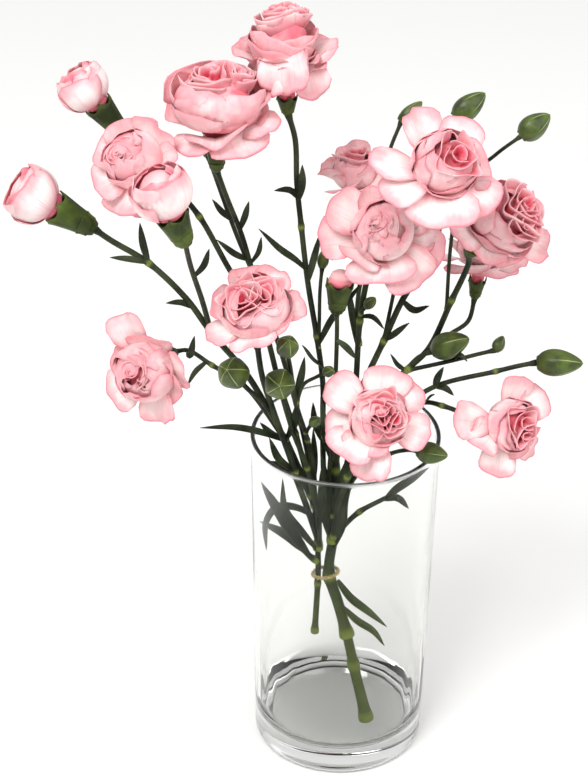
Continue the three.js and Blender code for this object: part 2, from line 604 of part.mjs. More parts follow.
// A petal's middle line in the plane of the axis, as radius and height along its length
function petalSpine(length, lean, share) {
  const parts = 8;
  let radius = 0;
  let height = 0;
  for (let i = 0; i < parts; i += 1) {
    const at = (share * (i + 0.5)) / parts;
    const angle = degrees(leanAt(lean, at));
    radius += (share * length * Math.sin(angle)) / parts;
    height += (share * length * Math.cos(angle)) / parts;
  }
  return { radius, height };
}

// Lean at a share of a petal's length, from values evenly spaced along it
function leanAt(lean, share) {
  const place = Math.min(share, 1) * (lean.length - 1);
  const before = Math.min(Math.floor(place), lean.length - 2);
  return THREE.MathUtils.lerp(lean[before], lean[before + 1], place - before);
}

// One petal: it leaves the calyx mouth, leans out, fans to a rounded, ruffled margin and is cupped
function petal(form) {
  const { length, width, lean, cup, tilt, columns, rows, azimuth, phase } = form;
  const rootHeight = form.rootHeight ?? ROOT_HEIGHT;
  const sunk = SUNK_LENGTH / length;
  const outward = new THREE.Vector3(Math.cos(azimuth), Math.sin(azimuth), 0);
  const sideways = new THREE.Vector3(-Math.sin(azimuth), Math.cos(azimuth), 0);
  return bentSheet(columns, rows, PETAL_THICKNESS, (across, along) => {
    const share = sunk + (1 - sunk) * along * (1 - 0.25 * across * across);
    const spine = petalSpine(length, lean, share);
    const angle = degrees(leanAt(lean, share));
    const half = 0.5 * width * Math.sin(0.5 * Math.PI * share ** 1.1) ** 1.2;
    const inner = outward.clone().multiplyScalar(-Math.cos(angle)).addScaledVector(UP, Math.sin(angle));
    const bend = Math.max(ROOT_RADIUS + spine.radius, 0.35 * length) / cup;
    const swing = (across * half) / bend;
    const ruffle = RUFFLE * length * share * share * Math.sin(2.6 * across + phase);
    const rise = bend * (1 - Math.cos(swing)) + ruffle + across * half * Math.tan(degrees(tilt));
    return outward.clone().multiplyScalar(ROOT_RADIUS + spine.radius)
      .addScaledVector(UP, rootHeight + spine.height)
      .addScaledVector(sideways, bend * Math.sin(swing))
      .addScaledVector(inner, rise);
  });
}

// The pointed plug that fills the calyx socket, clear of its wall all round
function plugProfile(radius) {
  const wide = (radius - CALYX_WALL) * Math.cos(Math.PI / CALYX_SIDES) - 2 * GAP;
  return [[0, 2 * GAP - CALYX_SOCKET_DEPTH], [wide, 0], [wide, PLUG_TOP]];
}

// The closed middle of a head: an egg of petals that lap over each other, sunk at its openings, on a
// throat that is narrowed to its plug
function middleBody({ radius, ball, hearts }, plugRadius) {
  const [size, height] = [ball[0] * radius, ball[2] * radius];
  const flat = ball[1];
  const profile = [...plugProfile(plugRadius), [0.5 * size, 0.3 * height]];
  for (const angle of [60, 90, 120, 150, 180]) {
    const polar = degrees(angle);
    profile.push([size * Math.sin(polar), height - flat * size * Math.cos(polar)]);
  }
  return reshape(turned(profile, MIDDLE_SIDES), (point) => {
    if (point.z < 0.35 * height) return point;
    const around = Math.atan2(point.y, point.x) / (2 * Math.PI);
    const climb = (point.z - height) / (flat * size);
    const lap = 1 - LAP_DEPTH * THREE.MathUtils.euclideanModulo(LAP_COUNT * around + climb, 1);
    const near = hearts.map(([x, y, wide]) => Math.hypot(point.x / size - x, point.y / size - y) / wide);
    const sink = climb > 0 ? HEART_DEPTH * size * Math.max(0, 1 - Math.min(...near) ** 2) : 0;
    return new THREE.Vector3(point.x * lap, point.y * lap, point.z - sink);
  });
}

// A rolled petal that stands in an opening of the closed middle
function foldPetal({ radius, ball }, [x, y, wide], azimuth) {
  const size = ball[0] * radius;
  const reach = FOLD_SHARE * wide * size;
  const fold = bentSheet(2, 1, PETAL_THICKNESS, (across, along) => {
    const out = reach * (0.8 + 0.2 * along);
    const around = azimuth + FOLD_SPREAD * across;
    return new THREE.Vector3(out * Math.cos(around), out * Math.sin(around), 0.5 * size * (along - 1));
  });
  const rise = Math.sqrt(1 - x * x - y * y);
  const origin = new THREE.Vector3(x * size, y * size, ball[2] * radius + rise * ball[1] * size);
  return stand(fold, origin, new THREE.Vector3(x, y, rise / ball[1]).normalize());
}

function bloomGeometry(name, order) {
  const head = BLOOMS[name];
  const pieces = [middleBody(head, calyxRadius(name)), foldPetal(head, head.hearts[0], 6 * scatter(order))];
  head.guards.forEach(([direction, length, width, ...lean], number) => {
    const luck = scatter(31 * order + number + 1);
    const sway = scatter(43 * order + number + 2) - 0.5;
    const tip = lean.pop() + GUARD_SWAY * sway;
    pieces.push(petal({
      length: length * head.radius,
      width: GUARD_WIDTH * width * head.radius,
      lean: [GUARD_ROOT_LEAN, ...lean, tip],
      cup: 0.25 + 0.35 * luck,
      tilt: GUARD_TILT + 10 * sway,
      columns: 2,
      rows: lean.length + 1,
      azimuth: degrees(direction),
      phase: 6 * luck,
      rootHeight: ROOT_HEIGHT - GUARD_STEP * (number % 3),
    }));
  });
  const { mouth, axis } = calyxOf(name);
  return stand(fuse(pieces), mouth, axis);
}

// Half-closed head: wrapped petals round an egg, on a plug in the calyx socket
function openingGeometry(name) {
  const { radius, length, turn } = OPENING_BUDS[name];
  const { mouth, axis } = calyxOf(name);
  const profile = [
    ...plugProfile(calyxRadius(name)), [0.84 * radius, 0.3 * length],
    [0.9 * radius, 0.55 * length], [0.62 * radius, 0.88 * length], [0, 0.98 * length],
  ];
  const egg = reshape(turned(profile, 10), (point) => {
    if (point.z < 2 * PLUG_TOP) return point;
    const fold = 1 + 0.06 * Math.cos(5 * Math.atan2(point.y, point.x) + 0.25 * point.z);
    return new THREE.Vector3(point.x * fold, point.y * fold, point.z);
  });
  const wraps = [0, 1, 2].map((i) => petal({
    length: 1.22 * length, width: 1.6 * radius, lean: [48, 12, -42],
    cup: 1, tilt: 8, columns: 3, rows: 2, azimuth: (2 * Math.PI * i) / 3, phase: i,
  }));
  return stand(fuse(length > 10 ? [egg, ...wraps] : [egg]), mouth, axis, turn);
}

const model = new THREE.Group();
const GLASS_LOOK = { color: 0xdfe6e2, roughness: 0.05, metalness: 0 };
const BAND_LOOK = { color: 0xc4ad7c, roughness: 0.7, metalness: 0 };
const GREEN_LOOK = { color: 0x46553a, roughness: 0.6, metalness: 0 };
const PETAL_LOOK = { color: 0xf2b4bc, roughness: 0.6, metalness: 0 };

model.add(mesh("glass", fuse([glassTumbler()]), GLASS_LOOK));
model.add(mesh("band", fuse([tieBand()]), BAND_LOOK));
model.add(mesh("stem_right", leafySpray(RIGHT_BRANCHES, RIGHT_LEAVES), GREEN_LOOK));
model.add(mesh("stem_left", leafySpray(LEFT_BRANCHES, LEFT_LEAVES), GREEN_LOOK));
Object.keys(BLOOMS).forEach((name, order) => {
  model.add(mesh(`bloom_${name}`, bloomGeometry(name, order), PETAL_LOOK));
});
Object.keys(OPENING_BUDS).forEach((name) => {
  model.add(mesh(`opening_${name}`, openingGeometry(name), PETAL_LOOK));
});

export default model;
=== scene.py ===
import math

import bpy
import numpy as np
from mathutils import Matrix, Vector


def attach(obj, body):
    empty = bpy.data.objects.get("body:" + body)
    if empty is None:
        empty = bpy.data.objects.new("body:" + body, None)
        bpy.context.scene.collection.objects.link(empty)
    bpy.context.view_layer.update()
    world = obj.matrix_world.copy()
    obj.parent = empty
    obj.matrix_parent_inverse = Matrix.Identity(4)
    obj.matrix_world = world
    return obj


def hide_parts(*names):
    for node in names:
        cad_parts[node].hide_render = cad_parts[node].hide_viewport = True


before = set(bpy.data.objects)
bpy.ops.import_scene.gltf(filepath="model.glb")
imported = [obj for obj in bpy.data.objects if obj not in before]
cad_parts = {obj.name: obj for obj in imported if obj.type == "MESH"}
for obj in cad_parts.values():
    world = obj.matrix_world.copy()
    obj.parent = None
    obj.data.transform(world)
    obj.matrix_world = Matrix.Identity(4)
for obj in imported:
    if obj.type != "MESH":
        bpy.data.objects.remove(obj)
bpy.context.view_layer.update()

# Sizes and places in the tables are in millimetres, and MM turns them into Blender's metres
MM = 0.001

# The glass
GLASS_HEIGHT = 155
RIM_RADIUS = 40
BASE_RADIUS = 37
FOOT_RADIUS = 34.5
WALL = 1.8
FLOOR_HEIGHT = 11.5
FLOOR_RADIUS = 27.7
PUNT_RADIUS = 32.6
PUNT_DEPTH = 0.9
FOOT_INSET = 0.6
FOOT_ROUND = 3.1
RIM_DROP = 2
GLASS_SIDES = 128

# The tie: two twisted strands round both stems, dipping on the left
BAND_CENTRE = (-7.2, -2, 84.5)
BAND_HALF_WIDTH = 5.5
BAND_HALF_DEPTH = 4.2
BAND_TILT = 0.16
STRAND_RADIUS = 0.46
STRAND_OFFSET = 0.4
STRAND_TURNS = 9
STRAND_STEPS = 240

# Cups, and the plug of a head that stands in one
CALYX_LENGTH = 12
CALYX_RADIUS = 4.7
CALYX_WALL = 0.5
CALYX_SOCKET_DEPTH = 4.5
CALYX_SHELF = 2.4
CALYX_TOOTH = 1.3
CALYX_TEETH = 5
PLUG_CLEARANCE = 0.6
PLUG_TOP = 1.8
SCALE_THICKNESS = 0.35

# Petals: how far under the centre of a head its cup ends, as a share of the head's size; where they leave
# the mouth of the cup; how deep their ruffles are, where their margin rolls, and how thin they are
HEAD_DEPTH = 0.5
ROOT_HEIGHT = 2.4
ROOT_RADIUS = 2.2
SUNK_SHARE = 0.27
RUFFLE = 0.075
ROLL_START = 0.72
PETAL_THICKNESS = 0.34
EDGE_THINNING = 0.55
PETAL_GRID = dict(rows=14, columns=14)
ROW_CROWDING = 0.85

# Leaves, and the joints and flares of the stems
LEAF_THICKNESS = 0.6
LEAF_FOLD = 0.35
LEAF_FACE = (0, -0.5, 0.87)
LEAF_STEP = 1.5
STEM_STEP = 1.6
JOINT_SWELL = 0.42
FLARE_LENGTH = 4
BRANCH_SINK = 0.8

# The photograph's camera: its place, its tilts in degrees, and its focal length in image heights
CAMERA_PLACE = (-28, -885, 719)
CAMERA_PITCH = 31.5
CAMERA_YAW = 0.39
CAMERA_ROLL = 0.87
FOCAL_SHARE = 2500 / 775
SENSOR_HEIGHT = 36

# Open heads. Centre, axis and radius: where a head is, the way it looks and its size. Ball: the radius of
# its closed middle in head radii, how flat it is, and its height in head radii. Hearts: the openings in
# that middle, with their place and size in radii of the middle. Guards: the outer petals, with their
# direction in degrees from the right, length and width in head radii, and lean from the axis in even steps
# up to the tip. Closed: how many degrees further the petals of the middle reach over it. Blush: how much
# pinker they are. Ruffled: long folded petals in the openings. Collar: more petals behind the outer ones.
# The length and radius of a cup are given where they aren't the usual ones
BLOOMS = {
    "crown": dict(centre=(-27, 14, 313), axis=(-0.06, 0.1, 0.99), radius=20, cup_length=7, cup_radius=4.4,
        closed=-14, blush=0.3, collar=True, ball=(0.68, 0.96, 1.2),
        hearts=[(-0.2, 0, 0.8), (0.45, 0.1, 0.5)], guards=[(268, 1.9, 1, 10, 60, 160, 168),
        (252, 1.4, 0.7, 12, 60, 158, 168), (303, 1.55, 0.85, 16, 78, 150, 160), (2, 1.35, 1, 32, 60, 80),
        (172, 1.35, 0.9, 34, 54, 66), (50, 1.3, 1.1, 44, 56), (130, 1.3, 1.1, 46, 60),
        (245, 1.2, 0.9, 32, 46, 60), (295, 1.2, 0.9, 32, 46, 60)]),
    "upper_left": dict(centre=(-53.4, -3.6, 299), axis=(0.02, -0.16, 0.98), radius=20, blush=0.25,
        collar=True, ball=(0.95, 0.58, 1.08), hearts=[(-0.14, 0.15, 0.75), (0.48, 0.25, 0.45)],
        guards=[(300, 1.25, 1.15, 66, 140), (338, 1.4, 0.95, 60, 100), (238, 1.2, 0.95, 66, 138),
        (185, 1.2, 1.1, 56, 58), (60, 1.2, 1.2, 54, 52), (120, 1.2, 1.2, 56, 54), (10, 1.15, 1.1, 60, 60),
        (270, 1.25, 1.2, 56, 62)]),
    "left": dict(centre=(-84, -17, 288), axis=(-0.36, -0.64, 0.68), radius=18, closed=22, blush=0.4,
        ball=(0.62, 0.9, 0.72), hearts=[(-0.25, 0.05, 0.75)], guards=[(200, 1.1, 1.1, 70, 84),
        (245, 1.25, 1.2, 74, 92), (278, 1.25, 1, 84, 112), (335, 1.1, 1, 62, 66), (38, 1.2, 1.1, 50, 40),
        (85, 1.15, 1.2, 46, 38), (140, 1.05, 1, 54, 56)]),
    "centre": dict(centre=(-38, -30, 229), axis=(-0.04, -0.42, 0.91), radius=18.5, closed=8, ruffled=True,
        ball=(0.76, 0.75, 0.74), hearts=[(-0.3, -0.22, 0.55), (0.32, -0.05, 0.5)],
        guards=[(100, 1.2, 0.9, 54, 46), (58, 1.25, 0.8, 50, 44), (8, 1.15, 0.7, 70, 84),
        (268, 1.25, 1, 64, 74), (212, 1.2, 0.8, 80, 98), (165, 1.1, 0.9, 60, 54), (312, 1, 0.9, 58, 64)]),
    "low_left": dict(centre=(-81, -18, 196), axis=(-0.42, -0.89, 0.17), radius=19, closed=16, blush=0.2,
        ball=(0.66, 0.9, 0.7), hearts=[(0, 0.28, 0.85)], guards=[(92, 1.5, 0.8, 54, 70, 100),
        (62, 1, 1, 56, 50), (348, 1.15, 0.85, 66, 66), (268, 1.3, 1, 74, 80), (200, 1.25, 0.95, 74, 86),
        (150, 0.95, 0.8, 60, 62), (310, 1, 0.8, 62, 64)]),
    "top_right": dict(centre=(34, -25, 291), axis=(0.09, -0.47, 0.88), radius=23, ruffled=True,
        ball=(0.56, 0.95, 0.66), hearts=[(0.3, -0.3, 0.58)], guards=[(124, 1.3, 0.8, 54, 56),
        (66, 1.15, 0.75, 56, 62), (182, 1.38, 0.75, 72, 86), (212, 1.22, 0.75, 82, 104),
        (268, 1.12, 1.2, 84, 104), (318, 1.12, 0.95, 80, 100), (12, 0.85, 0.9, 58, 58)]),
    "right_front": dict(centre=(12, -8, 254), axis=(0, -0.8, 0.6), radius=24, closed=30, blush=0.1,
        ball=(0.5, 1, 0.62), hearts=[(-0.25, 0.1, 0.75)], guards=[(150, 1.1, 0.8, 64, 70),
        (186, 1.15, 0.75, 74, 80), (268, 0.95, 1.15, 66, 72), (305, 1.15, 0.9, 76, 90),
        (336, 1.15, 0.8, 72, 82), (92, 1.05, 0.8, 40, 28), (225, 0.8, 0.8, 62, 64),
        (40, 0.95, 0.95, 48, 38), (5, 1, 0.8, 60, 60)]),
    "back_right": dict(centre=(3, 38, 254), axis=(-0.26, 0.17, 0.95), radius=16, ruffled=True,
        ball=(0.6, 0.9, 0.75), hearts=[(0.25, 0.1, 0.75)], guards=[(190, 1.15, 1.1, 40, 34),
        (150, 1.2, 0.95, 40, 34), (86, 1.45, 0.9, 30, 24), (40, 1.1, 1, 60, 60), (0, 1, 1, 60, 60),
        (300, 1, 1.1, 68, 78), (242, 1, 1.1, 68, 78)]),
    "right": dict(centre=(58.5, 5, 251), axis=(0.45, -0.41, 0.79), radius=20.5, ruffled=True,
        ball=(0.72, 0.85, 0.78), hearts=[(0.25, 0.05, 0.6), (0.35, -0.45, 0.45)],
        guards=[(246, 0.98, 1.05, 76, 84), (286, 0.88, 0.9, 76, 80), (213, 1.2, 0.9, 78, 96),
        (345, 1.25, 0.8, 70, 70), (160, 0.86, 1.05, 58, 56), (70, 0.95, 1, 50, 44),
        (20, 0.9, 0.9, 60, 56)]),
    "hidden_right": dict(centre=(56, 42, 215), axis=(0.1, 0.2, 0.97), radius=17, cup_length=8,
        cup_radius=3.9, collar=True, ball=(0.6, 0.85, 0.8), hearts=[(0, 0, 0.8)],
        guards=[(200, 1.2, 1.2, 70, 108), (245, 1.2, 1.2, 74, 125), (290, 1.2, 1.2, 74, 125),
        (335, 1.2, 1.15, 70, 108), (30, 1.05, 1.15, 62, 78), (110, 1.05, 1.2, 62, 78)]),
    "front": dict(centre=(12, -34, 183), axis=(0.09, -0.73, 0.68), radius=21, closed=14, ruffled=True,
        ball=(0.58, 0.85, 0.62), hearts=[(-0.05, 0.05, 0.65), (0.4, -0.15, 0.45)],
        guards=[(147, 1.28, 0.8, 74, 88), (80, 1.12, 0.95, 66, 70), (46, 1.08, 0.8, 72, 84),
        (343, 1.1, 0.75, 70, 84), (262, 1.3, 0.75, 76, 90), (226, 1.25, 0.95, 62, 70),
        (196, 1.05, 0.8, 80, 98), (243, 0.95, 0.9, 54, 58)]),
    "low_right": dict(centre=(67, -10, 166), axis=(0.5, -0.76, 0.41), radius=19.5, ruffled=True,
        ball=(0.56, 0.85, 0.6), hearts=[(0.1, 0.1, 0.65), (0.35, -0.35, 0.4)],
        guards=[(192, 1.75, 0.8, 76, 78), (212, 1.4, 0.85, 58, 50), (97, 1.15, 0.85, 66, 66),
        (52, 1.18, 0.8, 78, 90), (336, 1, 0.6, 78, 96), (270, 1.2, 0.8, 74, 82), (300, 0.8, 0.7, 62, 64)]),
}

# Heads that are still half closed: an egg of wrapped petals standing in its calyx
OPENING_BUDS = {
    "top": dict(centre=(-106, 12, 306), axis=(-0.63, 0.12, 0.77), radius=9.8, length=17,
        cup_length=16, cup_radius=6),
    "middle": dict(centre=(-73, -47, 290), axis=(-0.36, -0.08, 0.93), turn=50, radius=11, length=19,
        cup_length=14, cup_radius=6.8),
    "far_left": dict(centre=(-126, -5, 267), axis=(-0.85, -0.02, 0.53), turn=20, radius=10.8, length=19,
        cup_length=18, cup_radius=7),
    "showing": dict(centre=(-4, -8, 234), axis=(0.09, 0.18, 0.98), turn=10, radius=4.8, length=6,
        cup_length=12, cup_radius=5.8),
}

# Closed green buds: the middle, the way the tip points, length and width
CLOSED_BUDS = {
    "top_a": ((45, 6, 303), (0.76, 0.24, 0.6), 16, 10),
    "top_b": ((72, 14, 291), (0.79, 0.22, 0.57), 15, 10.5),
    "top_c": ((22, 2, 302), (0.72, 0.27, 0.64), 12, 6),
    "side_a": ((43, 12, 191), (0.84, -0.22, 0.5), 18, 12),
    "side_b": ((63, 10, 193), (0.45, 0.37, 0.81), 7.5, 5.5),
    "side_c": ((88, 5, 187), (0.98, -0.19, 0.1), 20, 12),
    "rim": ((35, -24, 160.5), (0.89, -0.43, 0.1), 14, 9.5),
    "near_a": ((-47, -24, 198), (-0.26, -0.74, 0.62), 16, 13.5),
    "near_b": ((-28, -26, 194), (0, -0.9, 0.44), 15, 13),
    "near_c": ((-25, -31, 215), (0.09, -0.61, 0.79), 12, 9.5),
    "tiny_a": ((-8, -17, 195), (0.4, -0.72, 0.57), 7, 5),
    "tiny_b": ((-13, -14, 169), (0.5, -0.53, 0.69), 7, 5),
    "tiny_c": ((-11, 3, 236), (0.09, 0.23, 0.97), 8, 5),
    "tiny_d": ((9, 10, 212), (0.53, -0.27, 0.8), 7, 5),
    "hidden": ((-59, 31, 272), (-0.22, 0.42, 0.88), 9, 6),
}

# Branches of each spray, from the cut end up: radius, what they carry, and the points of the route
RIGHT_BRANCHES = [
    (2.3, None, [(12.4, -13, 12.6), (9, -11, 27), (6, -9, 40), (3, -7, 54)]),
    (2.4, None, [(3, -7, 54), (-1.4, -4.5, 70), (-5.5, -2, 83), (-5.6, -1.6, 89), (-4.4, 0, 99)]),
    (1.9, None, [(-4.4, 0, 99), (-5, 2, 118), (-4, 2, 135), (-4, 2, 150)]),
    (1.2, "crown", [(-4.5, 1, 103), (-8, 4, 122), (-9.5, 5, 150), (-10, 3, 177), (-13, 3, 200),
        (-17, 3, 225), (-20, 4, 250), (-22, 6, 268), (-23, 8, 287)]),
    (0.8, "tiny_c", [(-12, 3, 193), (-12, 2, 208), (-12, 2, 222)]),
    (1, "showing", [(-4.5, 0, 112), (-6.5, -3, 134), (-5.5, -4, 158), (-5, -7, 186), (-5, -9, 212)]),
    (1.3, "right_front", [(-4, 1, 101), (-0.5, 4, 124), (3, 7, 152), (4, 8, 176), (5, 12, 202),
        (8, 16, 222)]),
    (0.8, "tiny_d", [(5, 12.5, 204), (6, 11, 208)]),
    (1, "back_right", [(5, 10, 191), (4, 19, 205), (6, 26, 220)]),
    (1.3, "top_right", [(-4, 2, 106), (-4.5, 7, 128), (0, 7, 152), (6, 5, 173), (15, 8, 195),
        (22, 10, 213), (32, 13, 231), (36, 8, 250), (34.5, -5, 265)]),
    (0.8, "top_a", [(22, 10, 213), (31, 17, 235), (38, 15, 262), (41, 8, 286)]),
    (0.8, "top_c", [(15, 8, 195), (20, 19, 225), (17, 16, 252), (14, 6, 280)]),
    (1.3, "right", [(-3.5, 1, 104), (2, 6, 130), (6, 8, 148), (14, 10, 165), (25, 14, 177),
        (34, 18, 185), (43, 18, 209), (49, 18, 226)]),
    (1, "hidden_right", [(34, 18, 185), (44, 28, 187), (52, 36, 189)]),
    (0.8, "top_b", [(41, 18, 203), (42, 25, 232), (45, 29, 255), (58, 19, 276)]),
    (1, "side_a", [(25, 14, 177), (30, 15, 183)]),
    (0.9, "side_b", [(25, 14, 177), (44, 11, 184), (55, 10, 188)]),
    (1.1, "side_c", [(0, 5, 127), (8, 6, 147), (21, 8, 160), (37, 8, 173), (62, 6, 182), (72, 6, 185)]),
    (1.1, "low_right", [(2, 6, 132), (13, 12, 148), (25, 17, 156), (34, 18, 159), (41, 13, 160.5),
        (49, 10, 159)]),
    (1.3, "front", [(-4, -1, 102), (-2.5, -5, 120), (1, -8, 138), (6, -11, 150), (9, -14, 158)]),
    (0.9, "rim", [(-2, -3, 120), (6, -5, 138), (18, -12, 152), (25, -18, 158)]),
    (1.2, None, [(-4, 0, 101), (1, 2, 107), (7, 3, 113), (18, 4, 120)]),
]

LEFT_BRANCHES = [
    (1.35, None, [(-11.3, -3, 53), (-10.8, -3, 67), (-10.4, -2.3, 79), (-10.3, -2, 86),
        (-10.6, -1, 96)]),
    (1.7, None, [(-10.6, -1, 96), (-11, 0, 111), (-14, 0, 124), (-18, -1, 133), (-25, -3, 152)]),
    (1, "low_left", [(-25, -3, 152), (-43, -5, 181), (-56, 0, 187), (-66, 5, 191)]),
    (1.1, "near_a", [(-25, -3, 152), (-34, -11, 175), (-42, -18, 188)]),
    (1.3, "far_left", [(-25, -3, 152), (-41, -5, 185), (-56, -9, 208), (-66, -8, 223), (-81, -6, 238),
        (-96, -4, 247)]),
    (1.1, "middle", [(-56, -9, 208), (-59, -15, 225), (-63, -31, 250)]),
    (1.3, "centre", [(-10, -2, 99), (-15, -5, 118), (-21, -8, 140), (-30, -10, 170), (-35, -14, 190)]),
    (1.2, "left", [(-12.5, 0, 117), (-17, 3, 136), (-21, 3, 152), (-28, 2, 177), (-37, 1, 212),
        (-48, 3, 229), (-61, 6, 253), (-70, 7, 264)]),
    (1, "top", [(-65, 7, 258), (-76, 15, 264), (-86, 15, 275)]),
    (1.1, "upper_left", [(-11, 1, 108), (-14, 5, 130), (-19, 6, 156), (-28, 4, 193), (-39, 5, 227),
        (-44, 6, 245), (-50, 4, 263)]),
    (0.9, "hidden", [(-39, 5, 227), (-46, 14, 240), (-54, 25, 258)]),
    (1.1, "near_b", [(-10, -3, 97), (-11.5, -6, 118), (-16, -8, 142), (-22, -9, 160), (-26, -13, 177)]),
    (1, "near_c", [(-12, -1, 116), (-13, -2, 136), (-16, -5, 154), (-21, -12, 176), (-24, -22, 201)]),
    (0.8, "tiny_a", [(-21, -12, 176), (-18, -14, 187), (-13, -15, 191)]),
    (0.8, "tiny_b", [(-17, -6, 158), (-16, -9, 162)]),
    (1.3, None, [(-10.5, -1.5, 90), (-14, -2, 93), (-18, -2, 98)]),
]

# Leaves: width and the points of the midrib, from the stem to the tip
RIGHT_LEAVES = [
    (4.2, [(18, 4, 119), (23, 4, 125), (29, 4, 130), (36, 4, 136)]),
    (3.6, [(18, 4, 119), (23, 2, 121), (28, 0, 117)]),
    (3.8, [(-2, -3, 81), (4, -5, 73), (12, -7, 67), (20, -8, 60)]),
    (3.4, [(1, -5, 68), (7, -8, 63), (14, -10, 59), (19, -11, 52)]),
    (3.4, [(-18, 3, 231), (-22, 1, 236), (-29, -2, 243), (-37, -6, 254)]),
    (3, [(-17, 3, 225), (-15, 0, 236), (-12, -3, 252)]),
    (3.2, [(-21, 5, 262), (-25, 4, 266), (-31, 2, 267)]),
    (3.2, [(-21, 5, 262), (-20, 4, 269), (-20, 3, 278)]),
    (3.2, [(15, 8, 195), (19, 6, 199), (25, 4, 206)]),
    (3.2, [(22, 10, 213), (27, 7, 210), (33, 6, 213)]),
    (3.4, [(37, 8, 173), (38, 6, 178), (40, 4, 185)]),
    (3.2, [(37, 8, 173), (41, 7, 173), (45, 6, 170)]),
    (3, [(34, 18.3, 158.8), (36, 13, 165), (37, 8, 169)]),
    (3.4, [(-12, 3, 196), (-7, 0, 209), (-1, -4, 220), (5, -7, 231)]),
    (3, [(-5, -9, 205), (-1, -10, 202), (3, -12, 198)]),
    (3.4, [(-11, 2, 186), (-15, -4, 193), (-19, -10, 203)]),
    (3.8, [(-4, 1, 117), (0, -3, 137), (3, -6, 150)]),
    (3.8, [(-4, 2, 135), (-8, -3, 153), (-11, -8, 177)]),
    (4.4, [(-4, -1, 97), (-1, -4, 110), (0, -5, 124), (4, -3, 139)]),
    (4.2, [(-5, 0, 100), (-8, -1, 115), (-8, -2, 130), (-10, -3, 146)]),
    (3.8, [(-4, 2, 150), (0, -2, 160), (1, -5, 172)]),
    (3.4, [(-9, 5, 146), (-13, 2, 158), (-14, -1, 170)]),
    (3, [(4.5, 10, 190), (1, 17, 207), (-1, 20, 219)]),
    (2.4, [(5, 12, 204), (10, 10, 205), (15, 9, 200)]),
    (2.4, [(44, 11, 184), (47, 9, 188), (50, 7, 186)]),
    (2.6, [(25, 14, 177), (21, 12, 181), (18, 9, 188)]),
]

LEFT_LEAVES = [
    (3.2, [(-25, -3, 152), (-34, -5, 157), (-46, -7, 161), (-61, -9, 162)]),
    (3.2, [(-26, -3, 153), (-31, -1, 154), (-36, 2, 158)]),
    (5.4, [(-15, -2, 94), (-22, -2, 105), (-29, -2, 118), (-35.5, -2, 131)]),
    (4.4, [(-17, -2, 96), (-25, -2, 104), (-36, -1, 110)]),
    (3.4, [(-11, 0, 111), (-20, -2, 118), (-28, -3, 119), (-33, -3, 111), (-33, -1, 95)]),
    (3.4, [(-11, -3, 97), (-18, -5, 108), (-25, -6, 120), (-26, -6, 136)]),
    (4.2, [(-11, -5, 110), (-9.5, -7, 126), (-10, -8, 142)]),
    (3.6, [(-18, -1, 133), (-24, -4, 139), (-32, -6, 144)]),
    (4, [(-25, -3, 152), (-22, -8, 163), (-20, -11, 178)]),
    (3.6, [(-21, -8, 140), (-28, -11, 148), (-32, -13, 160)]),
    (3, [(-81, -6, 238), (-83, -7, 247), (-84, -8, 257)]),
    (3, [(-81, -6, 238), (-88, -9, 241), (-96, -11, 243)]),
    (3, [(-64, -8, 219), (-68, -10, 222), (-74, -12, 223)]),
    (3, [(-40.5, 6.2, 233), (-47, 6, 236), (-54, 5, 243)]),
    (3, [(-48, 18, 245), (-53, 17, 250), (-56, 15, 256)]),
    (3, [(-44.8, 5.9, 247), (-42.5, 4, 254), (-41, 2, 262)]),
    (3.2, [(-66, 4.8, 190.8), (-65, 0.6, 190.8), (-63, -2, 202)]),
    (3.2, [(-21, -12, 180), (-19, -15, 192), (-18, -16, 201)]),
    (3.4, [(-14, 0, 124), (-13, 5, 138), (-13.5, 7, 152)]),
    (3, [(-62, -24, 242), (-58, -26, 248), (-56, -27, 256)]),
    (2.4, [(-40, 6, 232), (-37, 4, 238), (-36, 2, 246)]),
    (2.4, [(-58, 1.5, 188), (-63, -1, 184), (-66, -3, 179)]),
]

# Layers of petals wrapped round the closed middle of a head, from the outside in: how many petals, their
# size, how far over the top they reach in degrees, half the angle that one spans, and how pink they are
WRAPS = [
    dict(count=3, size=1.0, reach=102, spread=74, heart=0.15),
    dict(count=3, size=0.95, reach=122, spread=80, heart=0.35),
    dict(count=3, size=0.9, reach=136, spread=86, heart=0.5),
]

# Wraps: how much their reach differs round the head in degrees, how far one side stands out, how far they
# lean, where their foot is in degrees from below, and the size of the core under them
WRAP_SWING = 24
WRAP_TILT = 0.06
WRAP_LEAN = 0.22
WRAP_FOOT = 20
CORE_SHARE = 0.66

# Petals in the openings: how many small rolls, or how far apart the ruffled ones are and how much wider
FOLD_COUNT = 9
RUFFLE_SPACE = 2.6
RUFFLE_GROWN = 1.2

# Outer petals: a factor for their width, the steps between their roots, and how much their lean and tilt
# vary. In the tables of luck, each measure has its least value and what luck can add to it
GUARD_WIDTH = 1.3
GUARD_STEP = 0.5
GUARD_SWAY = 26
GUARD_ROOT_LEAN = 30
GUARD_TILT = 11
GUARD_LUCK = dict(cup=(0.25, 0.35), ruffle=(0.7, 0.7), roll=(0, 18), phase=(0, 6))

# Petals of the collar
COLLAR_COUNT = 5
COLLAR_LEAN = (30, 42, 46, 58)
COLLAR_LUCK = dict(cup=(0.7, 0.3), ruffle=(0.8, 0), roll=(0, 24), phase=(0, 6))

# Outlines of the throat of an open head, of the egg in a half-closed one and of a cup, from the bottom up,
# as shares of their width and height
THROAT = [(0.42, 0.45), (0.5, 0.8), (0, 1)]
EGG = [(0.84, 0.3), (0.88, 0.5), (0.74, 0.75), (0.4, 0.92), (0, 0.97)]
CUP = [(0.55, 0.08), (0.66, 0.25), (0.76, 0.5), (0.9, 0.8), (1, 1)]

